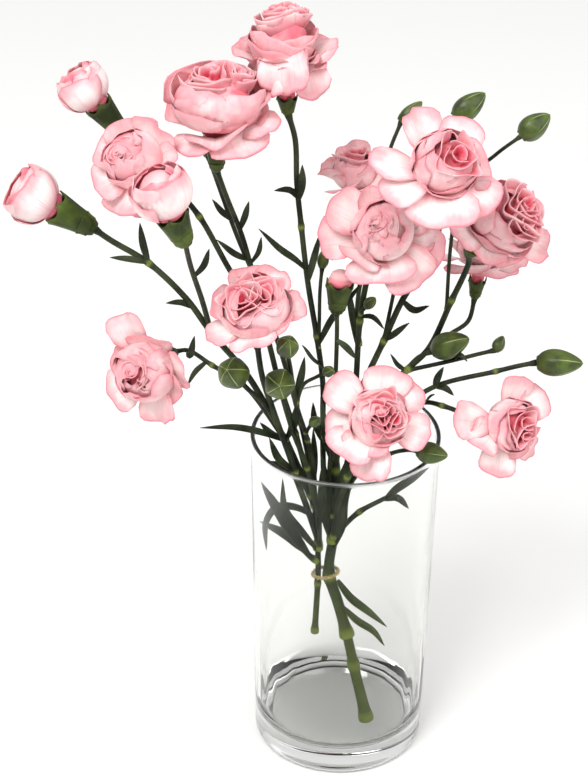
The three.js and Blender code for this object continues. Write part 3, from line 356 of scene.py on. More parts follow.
# Layers of the half-closed heads: how many petals, their size, how far over the top they reach in degrees
# and how pink they are. All have the same spread. A head up to the smallest length shows only its egg
SMALLEST_WRAPPED = 10
OPENING_SPREAD = 84
OPENING_WRAPS = [(3, 1.06, 112, 0.05), (3, 1, 128, 0.4), (3, 0.94, 140, 0.9)]

# What each point carries for the looks: how far along and across its petal or bud it lies, how pink it is
# (deep in a head that pink is partly painted crease shade) and how pale a green
VALUE_NAMES = ("along", "across", "heart", "lime")


def unit(vector):
    vector = np.asarray(vector, float)
    return vector / np.linalg.norm(vector)


def smoothstep(low, high, value):
    share = np.clip((np.asarray(value, float) - low) / (high - low), 0, 1)
    return share * share * (3 - 2 * share)


def scatter(number):
    """A steady number from 0 to 1 for each whole number, so that no two petals are alike."""
    return (math.sin(number * 12.9898) * 43758.5453) % 1.0


def vary(ranges, luck):
    return {name: least + more * luck for name, (least, more) in ranges.items()}


def scaled(outline, wide, high):
    return [(x * wide, y * high) for x, y in outline]


def add_object(name, data):
    made = bpy.data.objects.new(name, data)
    bpy.context.scene.collection.objects.link(made)
    return made


class Shape:
    """The closed forms of one piece, in millimetres, with a value for each point."""

    def __init__(self):
        self.points = []
        self.faces = []
        self.values = {name: [] for name in VALUE_NAMES}
        self.count = 0

    def add(self, points, faces, **values):
        points = np.reshape(points, (-1, 3))
        self.points.append(points)
        self.faces += [np.asarray(group) + self.count for group in faces]
        for name in VALUE_NAMES:
            value = np.asarray(values.get(name, 0.0), float)
            self.values[name].append(np.broadcast_to(value.ravel() if value.ndim else value, len(points)))
        self.count += len(points)

    def piece(self, name, look, slot, *nodes):
        mesh = bpy.data.meshes.new(name)
        faces = [face for group in self.faces for face in group.tolist()]
        mesh.from_pydata((np.vstack(self.points) * MM).tolist(), [], faces)
        for value_name, parts in self.values.items():
            attribute = mesh.attributes.new(value_name, "FLOAT", "POINT")
            attribute.data.foreach_set("value", np.concatenate(parts).astype(np.float32))
        mesh.shade_smooth()
        mesh.materials.append(look)
        made = add_object(name, mesh)
        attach(made, "root")
        if nodes:
            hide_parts(*nodes)


def smooth_path(points, spacing):
    """Points about one spacing apart on a smooth curve through the given ones (centripetal Catmull-Rom)."""
    points = np.asarray(points, float)
    ends = np.vstack([2 * points[0] - points[1], points, 2 * points[-1] - points[-2]])
    path = [points[0]]
    for before, start, end, after in zip(ends, ends[1:], ends[2:], ends[3:]):
        gap_in, gap, gap_out = (math.sqrt(np.linalg.norm(b - a)) for a, b in
                                ((before, start), (start, end), (end, after)))
        leave = ((start - before) / gap_in - (end - before) / (gap_in + gap) + (end - start) / gap) * gap
        arrive = ((end - start) / gap - (after - start) / (gap + gap_out) + (after - end) / gap_out) * gap
        count = max(2, round(gap * gap / spacing))
        for t in np.arange(1, count + 1) / count:
            path.append((2 * t**3 - 3 * t**2 + 1) * start + (t**3 - 2 * t**2 + t) * leave
                        + (3 * t**2 - 2 * t**3) * end + (t**3 - t**2) * arrive)
    return np.array(path)


def tangents_of(path):
    tangents = np.gradient(path, axis=0)
    return tangents / np.linalg.norm(tangents, axis=1, keepdims=True)


def grid_faces(rows, columns, closed=False):
    """Quads between rows of points, facing out when columns run round and rows run up."""
    across = columns if closed else columns + 1
    j, i = np.meshgrid(np.arange(rows), np.arange(columns), indexing="ij")
    right = (i + 1) % across
    above = (j + 1) * across
    return np.stack([j * across + i, j * across + right, above + right, above + i], -1).reshape(-1, 4)


def add_tube(shape, path, radii, sides=10, **values):
    """A closed tube along a path, with a radius for each point."""
    tangents = tangents_of(path)
    normal = unit(np.cross(tangents[0], (0.3, 0.9, 0.2)))
    angles = np.arange(sides) * 2 * math.pi / sides
    rings = []
    for place, tangent, radius in zip(path, tangents, radii):
        normal = unit(normal - tangent * normal.dot(tangent))
        side = np.cross(tangent, normal)
        rings.append(place + radius * (np.outer(np.cos(angles), normal) + np.outer(np.sin(angles), side)))
    last = (len(path) - 1) * sides
    caps = [np.arange(sides)[::-1][None], (last + np.arange(sides))[None]]
    spread = {name: np.repeat(value, sides) for name, value in values.items()}
    shape.add(np.array(rings), [grid_faces(len(path) - 1, sides, closed=True), *caps], **spread)


def turned(profile, sides, warp=None):
    """Points and faces of a form turned round Z. The profile starts and ends on the axis."""
    profile = np.asarray(profile, float)
    angles = np.arange(sides) * 2 * math.pi / sides
    inner = profile[1:-1]
    angle, radius = np.meshgrid(angles, inner[:, 0])
    height = np.broadcast_to(inner[:, 1:], angle.shape)
    if warp:
        radius, height = warp(angle, radius, height)
    ring_points = np.stack([radius * np.cos(angle), radius * np.sin(angle), height], -1).reshape(-1, 3)
    points = np.vstack([ring_points, (0, 0, profile[0, 1]), (0, 0, profile[-1, 1])])
    last = (len(inner) - 1) * sides
    around = np.arange(sides)
    following = (around + 1) % sides
    bottom = np.stack([following, around, np.full(sides, len(points) - 2)], -1)
    top = np.stack([last + around, last + following, np.full(sides, len(points) - 1)], -1)
    return points, [grid_faces(len(inner) - 1, sides, closed=True), bottom, top]


def stand(points, origin, axis, turn=0):
    """Moves points built along +Z so that their origin and axis lie where they are wanted."""
    lean = Vector((0, 0, 1)).rotation_difference(Vector(unit(axis))).to_matrix()
    matrix = np.array(lean @ Matrix.Rotation(math.radians(turn), 3, "Z"))
    return np.asarray(origin, float) + np.reshape(points, (-1, 3)) @ matrix.T


def placer(origin, axis, turn=0):
    return lambda points: stand(points, origin, axis, turn)


def add_sheet(shape, grid, thickness, place=lambda points: points, **values):
    """A thin closed sheet whose middle is the grid. The thickness may differ from point to point."""
    rows, columns = grid.shape[0] - 1, grid.shape[1] - 1
    normals = np.cross(np.gradient(grid, axis=1), np.gradient(grid, axis=0))
    normals /= np.linalg.norm(normals, axis=2, keepdims=True) + 1e-12
    shift = normals * (0.5 * np.broadcast_to(thickness, grid.shape[:2]))[..., None]
    points = np.concatenate([(grid + shift).reshape(-1, 3), (grid - shift).reshape(-1, 3)])
    front = grid_faces(rows, columns)
    back = grid.shape[0] * grid.shape[1]
    numbers = np.arange(back).reshape(grid.shape[:2])
    edge = np.concatenate([numbers[0, :-1], numbers[:-1, -1], numbers[-1, :0:-1], numbers[:0:-1, 0]])
    following = np.roll(edge, -1)
    sides = np.stack([following, edge, edge + back, following + back], -1)
    doubled = {name: np.concatenate([np.broadcast_to(value, grid.shape[:2]).ravel()] * 2)
               for name, value in values.items()}
    shape.add(place(points), [front, front[:, ::-1] + back, sides], **doubled)


def petal_edges(along, across):
    """Thickness of a petal, thinner towards its margin."""
    return PETAL_THICKNESS * (1 - EDGE_THINNING * smoothstep(0.8, 1, np.maximum(along, np.abs(across))))


def spans(rows, columns, crowding=1):
    """Places across a petal, from one side to the other, and along it, from its root to its margin."""
    return np.linspace(-1, 1, columns + 1)[None, :], np.linspace(0, 1, rows + 1)[:, None] ** crowding


def round_grid(out, around, height):
    """A grid from how far out each point is, its angle round the axis and its height."""
    return np.stack(np.broadcast_arrays(out * np.cos(around), out * np.sin(around), height), -1)


def lean_at(lean, roll, share):
    """Lean from the axis at a share of a petal's length, from values evenly spaced along it."""
    return np.interp(share, np.linspace(0, 1, len(lean)), lean) + roll * smoothstep(ROLL_START, 1, share)


def petal_grid(length, width, lean, cup, tilt, ruffle, roll, azimuth, phase, rows, columns,
               root_radius=ROOT_RADIUS, root_height=ROOT_HEIGHT, sunk=SUNK_SHARE):
    """One petal: it leaves the calyx mouth, leans out, fans to a rounded, ruffled margin and is cupped."""
    across, along = spans(rows, columns, ROW_CROWDING)
    teeth = 0.01 * np.sin(7 * across + 5 * phase)
    notch = 0.035 * np.exp(-((across - 0.4 * math.sin(7 * phase)) / 0.16) ** 2)
    reach = 1 - 0.27 * across**2 - 0.25 * across**8 + ruffle * (teeth - notch)
    share = sunk + (1 - sunk) * along * reach
    stations = np.linspace(0, 1.1, 60)
    angles = np.radians(lean_at(lean, roll, stations))
    step = length * (stations[1] - stations[0])
    radius_line, height_line = (np.concatenate([[0], np.cumsum(0.5 * (part[1:] + part[:-1]) * step)])
                                for part in (np.sin(angles), np.cos(angles)))
    radius = root_radius + np.interp(share, stations, radius_line)
    height = root_height + np.interp(share, stations, height_line)
    angle = np.radians(lean_at(lean, roll, share))
    half = 0.5 * width * np.sin(0.5 * math.pi * np.minimum(share, 1) ** 1.1) ** 1.2
    bend = np.maximum(radius, 0.35 * length) / cup
    swing = across * half / bend
    wave = RUFFLE * ruffle * length * (share**2 * np.sin(2.6 * across + phase)
                                       + 0.6 * share**4 * np.sin(6.5 * across + 2.3 * phase))
    rise = bend * (1 - np.cos(swing)) + wave + across * half * math.tan(math.radians(tilt))
    outward = np.array([math.cos(azimuth), math.sin(azimuth), 0])
    sideways = np.array([-math.sin(azimuth), math.cos(azimuth), 0])
    inner = -np.cos(angle)[..., None] * outward + np.sin(angle)[..., None] * np.array([0, 0, 1.0])
    grid = (radius[..., None] * outward + height[..., None] * np.array([0, 0, 1.0])
            + (bend * np.sin(swing))[..., None] * sideways + rise[..., None] * inner)
    return grid, along, across


def add_petal(shape, place, heart, **form):
    grid, along, across = petal_grid(**form, **PETAL_GRID)
    add_sheet(shape, grid, petal_edges(along, across), place, along=along, across=across, heart=heart)


def head_place(name):
    """Where a head's calyx starts and ends, and the way it points."""
    head = BLOOMS.get(name) or OPENING_BUDS[name]
    axis = unit(head["axis"])
    depth = HEAD_DEPTH * (head["radius"] if name in BLOOMS else head["length"])
    mouth = np.array(head["centre"], float) - depth * axis
    length = head.get("cup_length", CALYX_LENGTH)
    return dict(axis=axis, mouth=mouth, root=mouth - length * axis, length=length,
                radius=head.get("cup_radius", CALYX_RADIUS), turn=head.get("turn", 0))


def plug_profile(radius):
    wide = radius - CALYX_WALL - PLUG_CLEARANCE
    return [(0, PLUG_CLEARANCE - CALYX_SOCKET_DEPTH), (wide, 0), (wide, PLUG_TOP)]


def wrap_petal(size, flat, reach, spread, azimuth, phase):
    """A petal of the closed middle: a patch of an egg with its foot down, one side over its neighbour."""
    across, along = spans(**PETAL_GRID, crowding=ROW_CROWDING)
    teeth = 0.04 * np.sin(4 * across + 5 * phase) + 0.02 * np.sin(11 * across + 9 * phase)
    polar = np.radians(WRAP_FOOT + (reach - WRAP_FOOT) * along * (1 - 0.2 * across**2 + teeth))
    widen = np.sin(0.5 * math.pi * (0.12 + 0.88 * along) ** 0.75)
    around = azimuth + across * math.radians(spread) * widen
    ripple = 0.07 * np.sin(4 * across + 9 * phase) + 0.03 * np.sin(10 * across + 4 * phase)
    lip = smoothstep(0.7, 1, along) * (0.04 + ripple)
    wide = size * (1 + lip + WRAP_TILT * across * (0.3 + 0.7 * along))
    return round_grid(wide * np.sin(polar), around, -flat * wide * np.cos(polar)), along, across


def dome_drop(size, flat, radius):
    """How far the closed middle falls away at a distance from the centre of an opening."""
    return flat * (size - math.sqrt(size**2 - min(radius, 0.98 * size) ** 2))


def fold_petal(size, share, number, reach, flat, phase):
    """A rolled petal round the opening of a head: an upright arc that follows the dome outwards."""
    across, along = spans(8, 14)
    radius = reach * share
    turn = 2.4 * number + 6 * phase
    around = turn + across * (1.7 - 0.6 * share + 0.3 * math.sin(9 * phase))
    curl = 1 + 0.16 * smoothstep(0.5, 1, along) * (1 - 1.4 * share)
    ripple = 0.16 * np.sin(3.4 * across + 7 * phase) * along * (1 - 0.6 * share)
    out = radius * (0.8 + 0.2 * along) * (curl + ripple) + 0.1 * reach * across * (1 - share)
    top = 1 - 0.14 * across**2 + 0.06 * np.sin(5 * across + 9 * phase)
    lift = 0.07 * size * (phase + 0.6)
    height = 0.5 * size * (along * top - 1) + lift - 0.9 * dome_drop(size, flat, radius)
    drift = 0.16 * radius * math.sin(turn)
    return round_grid(out, around, height) + (drift, -drift, 0), along, across


def ruffled_petal(size, share, number, reach, flat, phase):
    """A petal that winds all round the opening of a head, its margin folded to and fro."""
    across, along = spans(8, 96)
    radius = reach * share
    waves = math.pi * (1.6 + 0.8 * number)
    fold = np.sin(waves * across + 6 * phase) + 0.3 * np.sin(1.7 * waves * across + 11 * phase)
    opened = 0.35 + 0.65 * along
    around = 6 * phase + 3 * across + 0.5 * opened * np.cos(waves * across + 6 * phase) / (2 + number)
    out = radius * (0.85 + 0.15 * along) * (1 + 0.22 * fold * opened)
    out = out + 0.11 * size * smoothstep(0.5, 1, along)
    top = 1 + 0.12 * np.sin(5 * across + 9 * phase) + 0.03 * np.sin(17 * across + 4 * phase)
    height = 0.55 * size * (along * top - 1) + 0.12 * size - 0.9 * dome_drop(size, flat, radius)
    return round_grid(out, around, height), along, across


def add_blade(shape, place, blade, origin, facing, heart, colour_share=1, thick=1):
    """A petal of the middle, turned the way it faces. With a smaller share its margin is less coloured."""
    grid, along, across = blade
    grid = stand(grid, origin, unit(facing)).reshape(grid.shape)
    add_sheet(shape, grid, thick * petal_edges(along, across), place, along=colour_share * along,
              across=across, heart=heart)


def add_wraps(shape, place, order, head, middle):
    """Wrapped petals round the core, which reach over towards the openings."""
    size = head["ball"][0] * head["radius"]
    aim = np.mean([(x, y) for x, y, _ in head["hearts"]], axis=0)
    aim_angle = math.atan2(aim[1], aim[0])
    pull = WRAP_SWING * min(1, 2 * np.linalg.norm(aim))
    for level, wrap in enumerate(WRAPS):
        for i in range(wrap["count"]):
            luck = scatter(53 * order + 7 * level + i + 11)
            turn = 2 * math.pi * (i + 0.36 * level + 0.2 * (luck - 0.5)) / wrap["count"]
            azimuth = aim_angle + math.pi + turn
            reach = (wrap["reach"] + (1 + 0.7 * level) * head.get("closed", 0)
                     - pull * math.cos(azimuth - aim_angle) + 22 * (luck - 0.5))
            blade = wrap_petal(wrap["size"] * size * (0.97 + 0.06 * luck), head["ball"][1], reach,
                               wrap["spread"] * (0.75 + 0.35 * luck), azimuth, luck)
            facing = (WRAP_LEAN * math.cos(29 * luck), WRAP_LEAN * math.sin(29 * luck), 1)
            add_blade(shape, place, blade, middle, facing, wrap["heart"] + head.get("blush", 0))


def add_folds(shape, place, order, head, middle):
    """Small rolls, or long ruffled petals, that stand in the openings of the closed middle."""
    size = head["ball"][0] * head["radius"]
    flat = head["ball"][1]
    for spot, (x, y, wide) in enumerate(head["hearts"]):
        rise = math.sqrt(1 - x * x - y * y)
        origin = middle + size * 0.96 * np.array([x, y, flat * rise])
        rolled, count, reach = fold_petal, FOLD_COUNT, wide * size
        if head.get("ruffled"):
            rolled, reach = ruffled_petal, RUFFLE_GROWN * wide * size
            count = max(2, round(reach / RUFFLE_SPACE))
        for number in range(count):
            luck = scatter(17 * order + 5 * spot + number + 3)
            blade = rolled(size, (number + 0.6) / count, number, reach, flat, luck)
            # The folds in the openings are the pinkest; their deep pink is partly painted crease shade
            heart = 0.6 + 0.6 * (1 - number / count) * (0.6 + 0.4 * luck)
            add_blade(shape, place, blade, origin, (x, y, rise / flat), heart, 0.86, 1.2)


def bloom(name, order, look):
    """An open head: outer petals round a closed middle, on a throat that stands in the cup."""
    head = BLOOMS[name]
    radius = head["radius"]
    spot = head_place(name)
    size = head["ball"][0] * radius
    height = head["ball"][2] * radius
    shape = Shape()
    place = placer(spot["mouth"], spot["axis"])
    points, faces = turned(plug_profile(spot["radius"]) + scaled(THROAT, size, height), 24)
    shape.add(place(points), faces, heart=0.6)
    for number, (direction, length, width, *lean) in enumerate(head["guards"]):
        luck = scatter(31 * order + number + 1)
        sway = scatter(43 * order + number + 2) - 0.5
        lean[-1] += GUARD_SWAY * sway
        add_petal(shape, place, 0.12 * luck + 0.5 * head.get("blush", 0), length=length * radius,
                  width=GUARD_WIDTH * width * radius, lean=(GUARD_ROOT_LEAN, *lean),
                  tilt=GUARD_TILT + 10 * sway, azimuth=math.radians(direction),
                  root_height=ROOT_HEIGHT - GUARD_STEP * (number % 3), **vary(GUARD_LUCK, luck))
    for number in range(COLLAR_COUNT if head.get("collar") else 0):
        luck = scatter(61 * order + number + 5)
        sway = scatter(67 * order + number + 9) - 0.5
        add_petal(shape, place, 0.1 + 0.2 * luck, length=(0.98 + 0.2 * luck) * radius,
                  width=(1 + 0.3 * luck) * radius, lean=[angle + 16 * sway for angle in COLLAR_LEAN],
                  tilt=14 * sway, azimuth=2 * math.pi * (number + 0.5 * luck) / COLLAR_COUNT + order,
                  **vary(COLLAR_LUCK, luck))
    middle = np.array([0, 0, height])
    ball = [(math.sin(a), -math.cos(a)) for a in np.linspace(0, math.pi, 12)]
    wide = CORE_SHARE * size
    points, faces = turned(scaled(ball, wide, head["ball"][1] * wide), 24)
    # The core deep in the head is deep pink, partly painted shade in the gaps between the folds
    shape.add(place(points + middle), faces, heart=0.85, along=0.6)
    add_wraps(shape, place, order, head, middle)
    add_folds(shape, place, order, head, middle)
    shape.piece(f"petals_{name}", look, "petals", f"bloom_{name}")


def opening_head(name, look):
    """Half-closed head: petals wrapped round an egg that stands in its calyx."""
    head = OPENING_BUDS[name]
    radius, length = head["radius"], head["length"]
    spot = head_place(name)
    shape = Shape()
    place = placer(spot["mouth"], spot["axis"], spot["turn"])
    points, faces = turned(plug_profile(spot["radius"]) + scaled(EGG, radius, length), 32)
    along = np.clip(points[:, 2] / length, 0, 1)
    shape.add(place(points), faces, heart=0.5, along=0.8 * along)
    if length > SMALLEST_WRAPPED:
        middle = np.array([0, 0, 0.54 * length])
        for level, (count, grown, reach, heart) in enumerate(OPENING_WRAPS):
            for i in range(count):
                luck = scatter(71 * level + 13 * i + length)
                azimuth = 2 * math.pi * (i + 0.4 * level + 0.2 * luck) / count
                blade = wrap_petal(grown * radius, 0.53 * length / radius, reach + 16 * luck,
                                   OPENING_SPREAD, azimuth, luck)
                facing = (0.1 * math.cos(9 * luck), 0.1 * math.sin(9 * luck), 1)
                add_blade(shape, place, blade, middle, facing, heart, 1 - 0.15 * level)
    shape.piece(f"petals_{name}", look, "petals", f"opening_{name}")


def add_scales(shape, place, lengths, **form):
    """Two pairs of small scales that hug the foot of a cup or a bud."""
    for i in range(4):
        grid, along, _ = petal_grid(length=lengths[i % 2], tilt=0, ruffle=0, azimuth=i * math.pi / 2,
                                    phase=i, sunk=0.3, rows=6, columns=6, **form)
        add_sheet(shape, grid, SCALE_THICKNESS, place, along=0.2 * along, lime=0.25)


def add_calyx(shape, spot):
    """Green cup with five pointed teeth, fine ribs and two pairs of scales hugging its foot."""
    length, radius = spot["length"], spot["radius"]
    profile = [(0, -1), (0.4 * radius, -0.6), *scaled(CUP, radius, length)]
    profile += [(radius - CALYX_WALL, length), (0.7 * radius, length - CALYX_SHELF)]
    profile += [(0, length - CALYX_SOCKET_DEPTH)]

    def warp(angle, wide, height):
        tooth = CALYX_TOOTH * (1 - 2 * np.abs(np.sin(0.5 * CALYX_TEETH * angle)) ** 0.8)
        at_rim = smoothstep(0.8 * length, length, height) * (wide > 0.9 * (radius - CALYX_WALL))
        rib = 1 + 0.02 * np.cos(2 * CALYX_TEETH * angle)
        return wide * rib, height + tooth * at_rim

    points, faces = turned(profile, 60, warp)
    tip = smoothstep(0.75, 1.05, points[:, 2] / length)
    place = placer(spot["root"], spot["axis"], spot["turn"])
    shape.add(place(points), faces, lime=0.5 * tip)
    add_scales(shape, place, (0.42 * (0.8 * length), 0.42 * length), width=1.5 * radius, lean=(18, 8, 26),
               cup=0.9, roll=0, root_radius=0.5 * radius, root_height=-0.4)


def add_closed_bud(shape, centre, axis, length, width):
    """Green bud of five closed teeth, pointed at the tip, with scales at its foot."""
    base = np.array(centre, float) - 0.5 * length * unit(axis)
    heights = np.linspace(0, 1, 22)
    widths = np.sin(math.pi * heights**0.8) ** 0.62 * (1 - 0.12 * heights)
    profile = scaled(zip(widths, heights), width / 2, length)
    profile[0] = (0, 0)
    profile[-1] = (0, length)

    def warp(angle, wide, height):
        return wide * (1 + 0.035 * np.cos(CALYX_TEETH * angle)), height

    points, faces = turned(profile, 40, warp)
    round_share = np.arctan2(points[:, 1], points[:, 0]) / (2 * math.pi)
    seam = np.abs((CALYX_TEETH * round_share) % 1 - 0.5) * 2
    place = placer(base, axis)
    shape.add(place(points), faces, along=points[:, 2] / length, across=seam)
    add_scales(shape, place, (0.27 * length, 0.36 * length), width=0.95 * width, lean=(62, 26, 14),
               cup=1, roll=14, root_radius=0.12 * width, root_height=-0.3)


def branch_end(name):
    if name in CLOSED_BUDS:
        centre, axis, length, _ = CLOSED_BUDS[name]
        return np.array(centre, float) - unit(axis) * (0.5 * length - BRANCH_SINK)
    return head_place(name)["root"]


def add_branch(shape, radius, carries, points):
    """A stem with a swollen, paler joint at its foot and at every second bend."""
    path = smooth_path([*points, branch_end(carries)] if carries else points, STEM_STEP)
    steps = np.linalg.norm(np.diff(path, axis=0), axis=1)
    reach = np.concatenate([[0], np.cumsum(steps)])
    swell = np.exp(-((reach - 1.2) / (1.5 * radius)) ** 2)
    bends = [np.array(point, float) for point in points[1:-1]]
    marks = [reach[np.argmin(np.linalg.norm(path - bend, axis=1))] for bend in bends[1::2]]
    for mark in marks:
        swell = np.maximum(swell, 0.75 * np.exp(-((reach - mark) / (1.2 * radius)) ** 2))
    taper = 1.04 - 0.1 * reach / reach[-1]
    widen = 0.5 * smoothstep(reach[-1] - FLARE_LENGTH, reach[-1], reach) if carries else 0
    add_tube(shape, path, radius * (taper + JOINT_SWELL * swell + widen), lime=swell)


def add_leaf(shape, width, points):
    """A narrow channelled blade that ends in a point."""
    path = smooth_path(points, LEAF_STEP)
    forward = tangents_of(path)
    side = np.cross(forward, LEAF_FACE)
    side /= np.linalg.norm(side, axis=1, keepdims=True)
    upper = np.cross(side, forward)
    along = np.linspace(0, 1, len(path))
    half = 0.5 * width * np.maximum(0.06, np.sin(math.pi * (0.12 + 0.88 * along)) ** 0.75)
    across = np.linspace(-1, 1, 7)
    rise = np.abs(across)[None] ** 1.4 * half[:, None] * LEAF_FOLD
    grid = (path[:, None] + across[None, :, None] * half[:, None, None] * side[:, None]
            + rise[..., None] * upper[:, None])
    thin = LEAF_THICKNESS * (1 - 0.5 * np.abs(across)[None] ** 3) * (1 - 0.5 * along[:, None] ** 2)
    add_sheet(shape, grid, thin, lime=0.5 * np.exp(-along * 9)[:, None])


def spray(name, branches, leaves, looks):
    """A leafy stem with its cups and buds, as four pieces."""
    shapes = {kind: Shape() for kind in looks}
    for radius, carries, points in branches:
        add_branch(shapes["stems"], radius, carries, points)
        if carries in CLOSED_BUDS:
            add_closed_bud(shapes["buds"], *CLOSED_BUDS[carries])
        elif carries:
            add_calyx(shapes["cups"], head_place(carries))
    for width, points in leaves:
        add_leaf(shapes["leaves"], width, points)
    for kind, shape in shapes.items():
        nodes = [f"stem_{name}"] if kind == "stems" else []
        shape.piece(f"{kind}_{name}", looks[kind], "greenery", *nodes)


def arc(centre, radius, start, end, steps):
    """Profile points on an arc, with angles in degrees."""
    angles = np.radians(np.linspace(start, end, steps))
    return [(centre[0] + radius * math.cos(a), centre[1] + radius * math.sin(a)) for a in angles]


def tumbler(look):
    """Glass with a thick foot, a round inner floor and a hollow under it, and wider at the rim."""
    inner_rim = RIM_RADIUS - WALL
    inner_foot = BASE_RADIUS - WALL
    corner = inner_foot - FLOOR_RADIUS
    punt = [(PUNT_RADIUS * share, PUNT_DEPTH * (1 - share**6)) for share in np.linspace(0, 1, 10)]
    lip = WALL / 2
    profile = punt + [(FOOT_RADIUS - FOOT_INSET, 0)]
    profile += arc((FOOT_RADIUS - FOOT_INSET, FOOT_ROUND), FOOT_ROUND, -80, 0, 8)
    profile += [(BASE_RADIUS + (RIM_RADIUS - BASE_RADIUS) * share, GLASS_HEIGHT * share)
                for share in np.linspace(0.05, 0.99, 14)]
    profile += arc((RIM_RADIUS - lip, GLASS_HEIGHT - lip), lip, 0, 180, 9)
    profile += [(inner_rim + (inner_foot - inner_rim) * share,
                 GLASS_HEIGHT - RIM_DROP + (FLOOR_HEIGHT + corner + RIM_DROP - GLASS_HEIGHT) * share)
                for share in np.linspace(0, 0.98, 14)]
    profile += arc((FLOOR_RADIUS, FLOOR_HEIGHT + corner), corner, 0, -90, 10)
    profile += [(FLOOR_RADIUS * share, FLOOR_HEIGHT) for share in (0.8, 0.5, 0.2, 0)]
    points, faces = turned(profile, GLASS_SIDES)
    shape = Shape()
    shape.add(points, faces)
    shape.piece("tumbler", look, "glass", "glass")


def tie(look):
    """Two strands twisted round each other, in a loop round both stems."""
    shape = Shape()
    angles = np.arange(STRAND_STEPS + 1) * 2 * math.pi / STRAND_STEPS
    flat = np.stack([BAND_HALF_WIDTH * np.cos(angles), BAND_HALF_DEPTH * np.sin(angles)], -1)
    outward = np.stack([np.cos(angles), np.sin(angles)], -1)
    for strand in range(2):
        twist = STRAND_TURNS * angles + math.pi * strand
        spread = flat + STRAND_OFFSET * np.cos(twist)[:, None] * outward
        height = BAND_TILT * spread[:, 0] + STRAND_OFFSET * np.sin(twist)
        path = np.column_stack([spread, height]) + np.array(BAND_CENTRE)
        add_tube(shape, path, np.full(len(path), STRAND_RADIUS), sides=8)
    shape.piece("raffia_tie", look, "band", "band")


def colour(code):
    """Linear colour of a hexadecimal sRGB code."""
    channels = [int(code[i:i + 2], 16) / 255 for i in (0, 2, 4)]
    linear = [c / 12.92 if c <= 0.04045 else ((c + 0.055) / 1.055) ** 2.4 for c in channels]
    return (*linear, 1.0)


def add_node(tree, kind, inputs=None, **settings):
    """A node with its settings, and its inputs set or linked by name or number."""
    made = tree.nodes.new(kind)
    for name, value in settings.items():
        setattr(made, name, value)
    for name, value in (inputs or {}).items():
        if isinstance(value, bpy.types.NodeSocket):
            tree.links.new(value, made.inputs[name])
        else:
            made.inputs[name].default_value = value
    return made


def read_value(look, name):
    return add_node(look.node_tree, "ShaderNodeAttribute", attribute_name=name).outputs["Fac"]


def ramp(value, low, high, to_low=0, to_high=1):
    inputs = {"Value": value, "From Min": low, "From Max": high, "To Min": to_low, "To Max": to_high}
    made = add_node(value.id_data, "ShaderNodeMapRange", inputs, interpolation_type="SMOOTHSTEP")
    return made.outputs["Result"]


def blend(share, first, second):
    """A mix of two colours, each a socket or a hexadecimal code."""
    first, second = (colour(c) if isinstance(c, str) else c for c in (first, second))
    inputs = {0: share, 6: first, 7: second}
    return add_node(share.id_data, "ShaderNodeMix", inputs, data_type="RGBA").outputs[2]


def combine(operation, first, second):
    inputs = {0: first, 1: second}
    return add_node(first.id_data, "ShaderNodeMath", inputs, operation=operation).outputs[0]


def times(first, second):
    return combine("MULTIPLY", first, second)


def noise(vector, scale, detail):
    inputs = {"Scale": scale, "Detail": detail, "Vector": vector}
    return add_node(vector.id_data, "ShaderNodeTexNoise", inputs).outputs["Fac"]


def place_vector(look):
    return add_node(look.node_tree, "ShaderNodeTexCoord").outputs["Object"]


def height_of(vector):
    return add_node(vector.id_data, "ShaderNodeSeparateXYZ", {0: vector}).outputs[2]


def new_look(name, **principled):
    look = bpy.data.materials.new(name)
    look.use_nodes = True
    shader = look.node_tree.nodes["Principled BSDF"]
    for socket, value in principled.items():
        shader.inputs[socket.replace("_", " ")].default_value = value
    return look, shader


def connect(output, socket):
    socket.id_data.links.new(output, socket)


def bumped(shader, height, distance):
    inputs = {"Height": height, "Distance": distance, "Strength": 1}
    bump = add_node(height.id_data, "ShaderNodeBump", inputs)
    connect(bump.outputs["Normal"], shader.inputs["Normal"])


def finished(look, shader, shade, height, distance):
    """The look with its colour, and with a fine relief of the given depth."""
    connect(shade, shader.inputs["Base Color"])
    bumped(shader, height, distance)
    return look


def petal_look():
    """Pale blades with soft pink margins and fine veins; a darker pink deep in a head, partly own colour
    and partly painted crease shade, and painted crease shade towards the root.
    """
    look, shader = new_look("petal", Roughness=0.6, Subsurface_Weight=0.3, Subsurface_Scale=0.001,
                            Sheen_Weight=0.1, Specular_IOR_Level=0.15)
    shader.inputs["Subsurface Radius"].default_value = (1, 0.8, 0.8)
    along = read_value(look, "along")
    across = read_value(look, "across")
    heart = read_value(look, "heart")
    side = combine("ABSOLUTE", across, 0)
    margin = combine("MAXIMUM", along, times(side, 0.97))
    stretched = times(along, 0.08)
    inputs = {0: across, 1: stretched, 2: heart}
    spread = add_node(look.node_tree, "ShaderNodeCombineXYZ", inputs).outputs[0]
    veins = noise(spread, 16, 4)
    cloud = noise(place_vector(look), 130, 2)
    wander = times(combine("SUBTRACT", cloud, 0.5), 0.5)
    wandering = combine("ADD", margin, wander)
    # Painted crease shade: where the heart value is high, deep in a head between its folds and round its
    # core, the petals turn a darker, deeper pink; partly the flower's own pink, partly painted shade
    mottled = times(heart, ramp(cloud, 0.3, 0.62, 0.6, 1))
    deep = times(mottled, ramp(along, 0.6, 1, 1, 0.15))
    face = blend(deep, "f9e7e5", "d63c5a")
    veined = blend(ramp(veins, 0.48, 0.78, 0, 0.4), face, "e59aa2")
    flushed = blend(ramp(wandering, 0.58, 1, 0, 0.75), veined, "e08a95")
    rim = times(ramp(margin, 0.93, 1, 0, 0.65), ramp(heart, 0.2, 0.8, 1, 0))
    rimmed = blend(rim, flushed, "d56a7a")
    # Painted crease shade: a darker, deeper pink towards the root of every petal, where it runs down into
    # the head
    root_shaded = blend(ramp(along, 0, 0.5, 0.75, 0), rimmed, "d4385e")
    return finished(look, shader, root_shaded, veins, 0.0002)


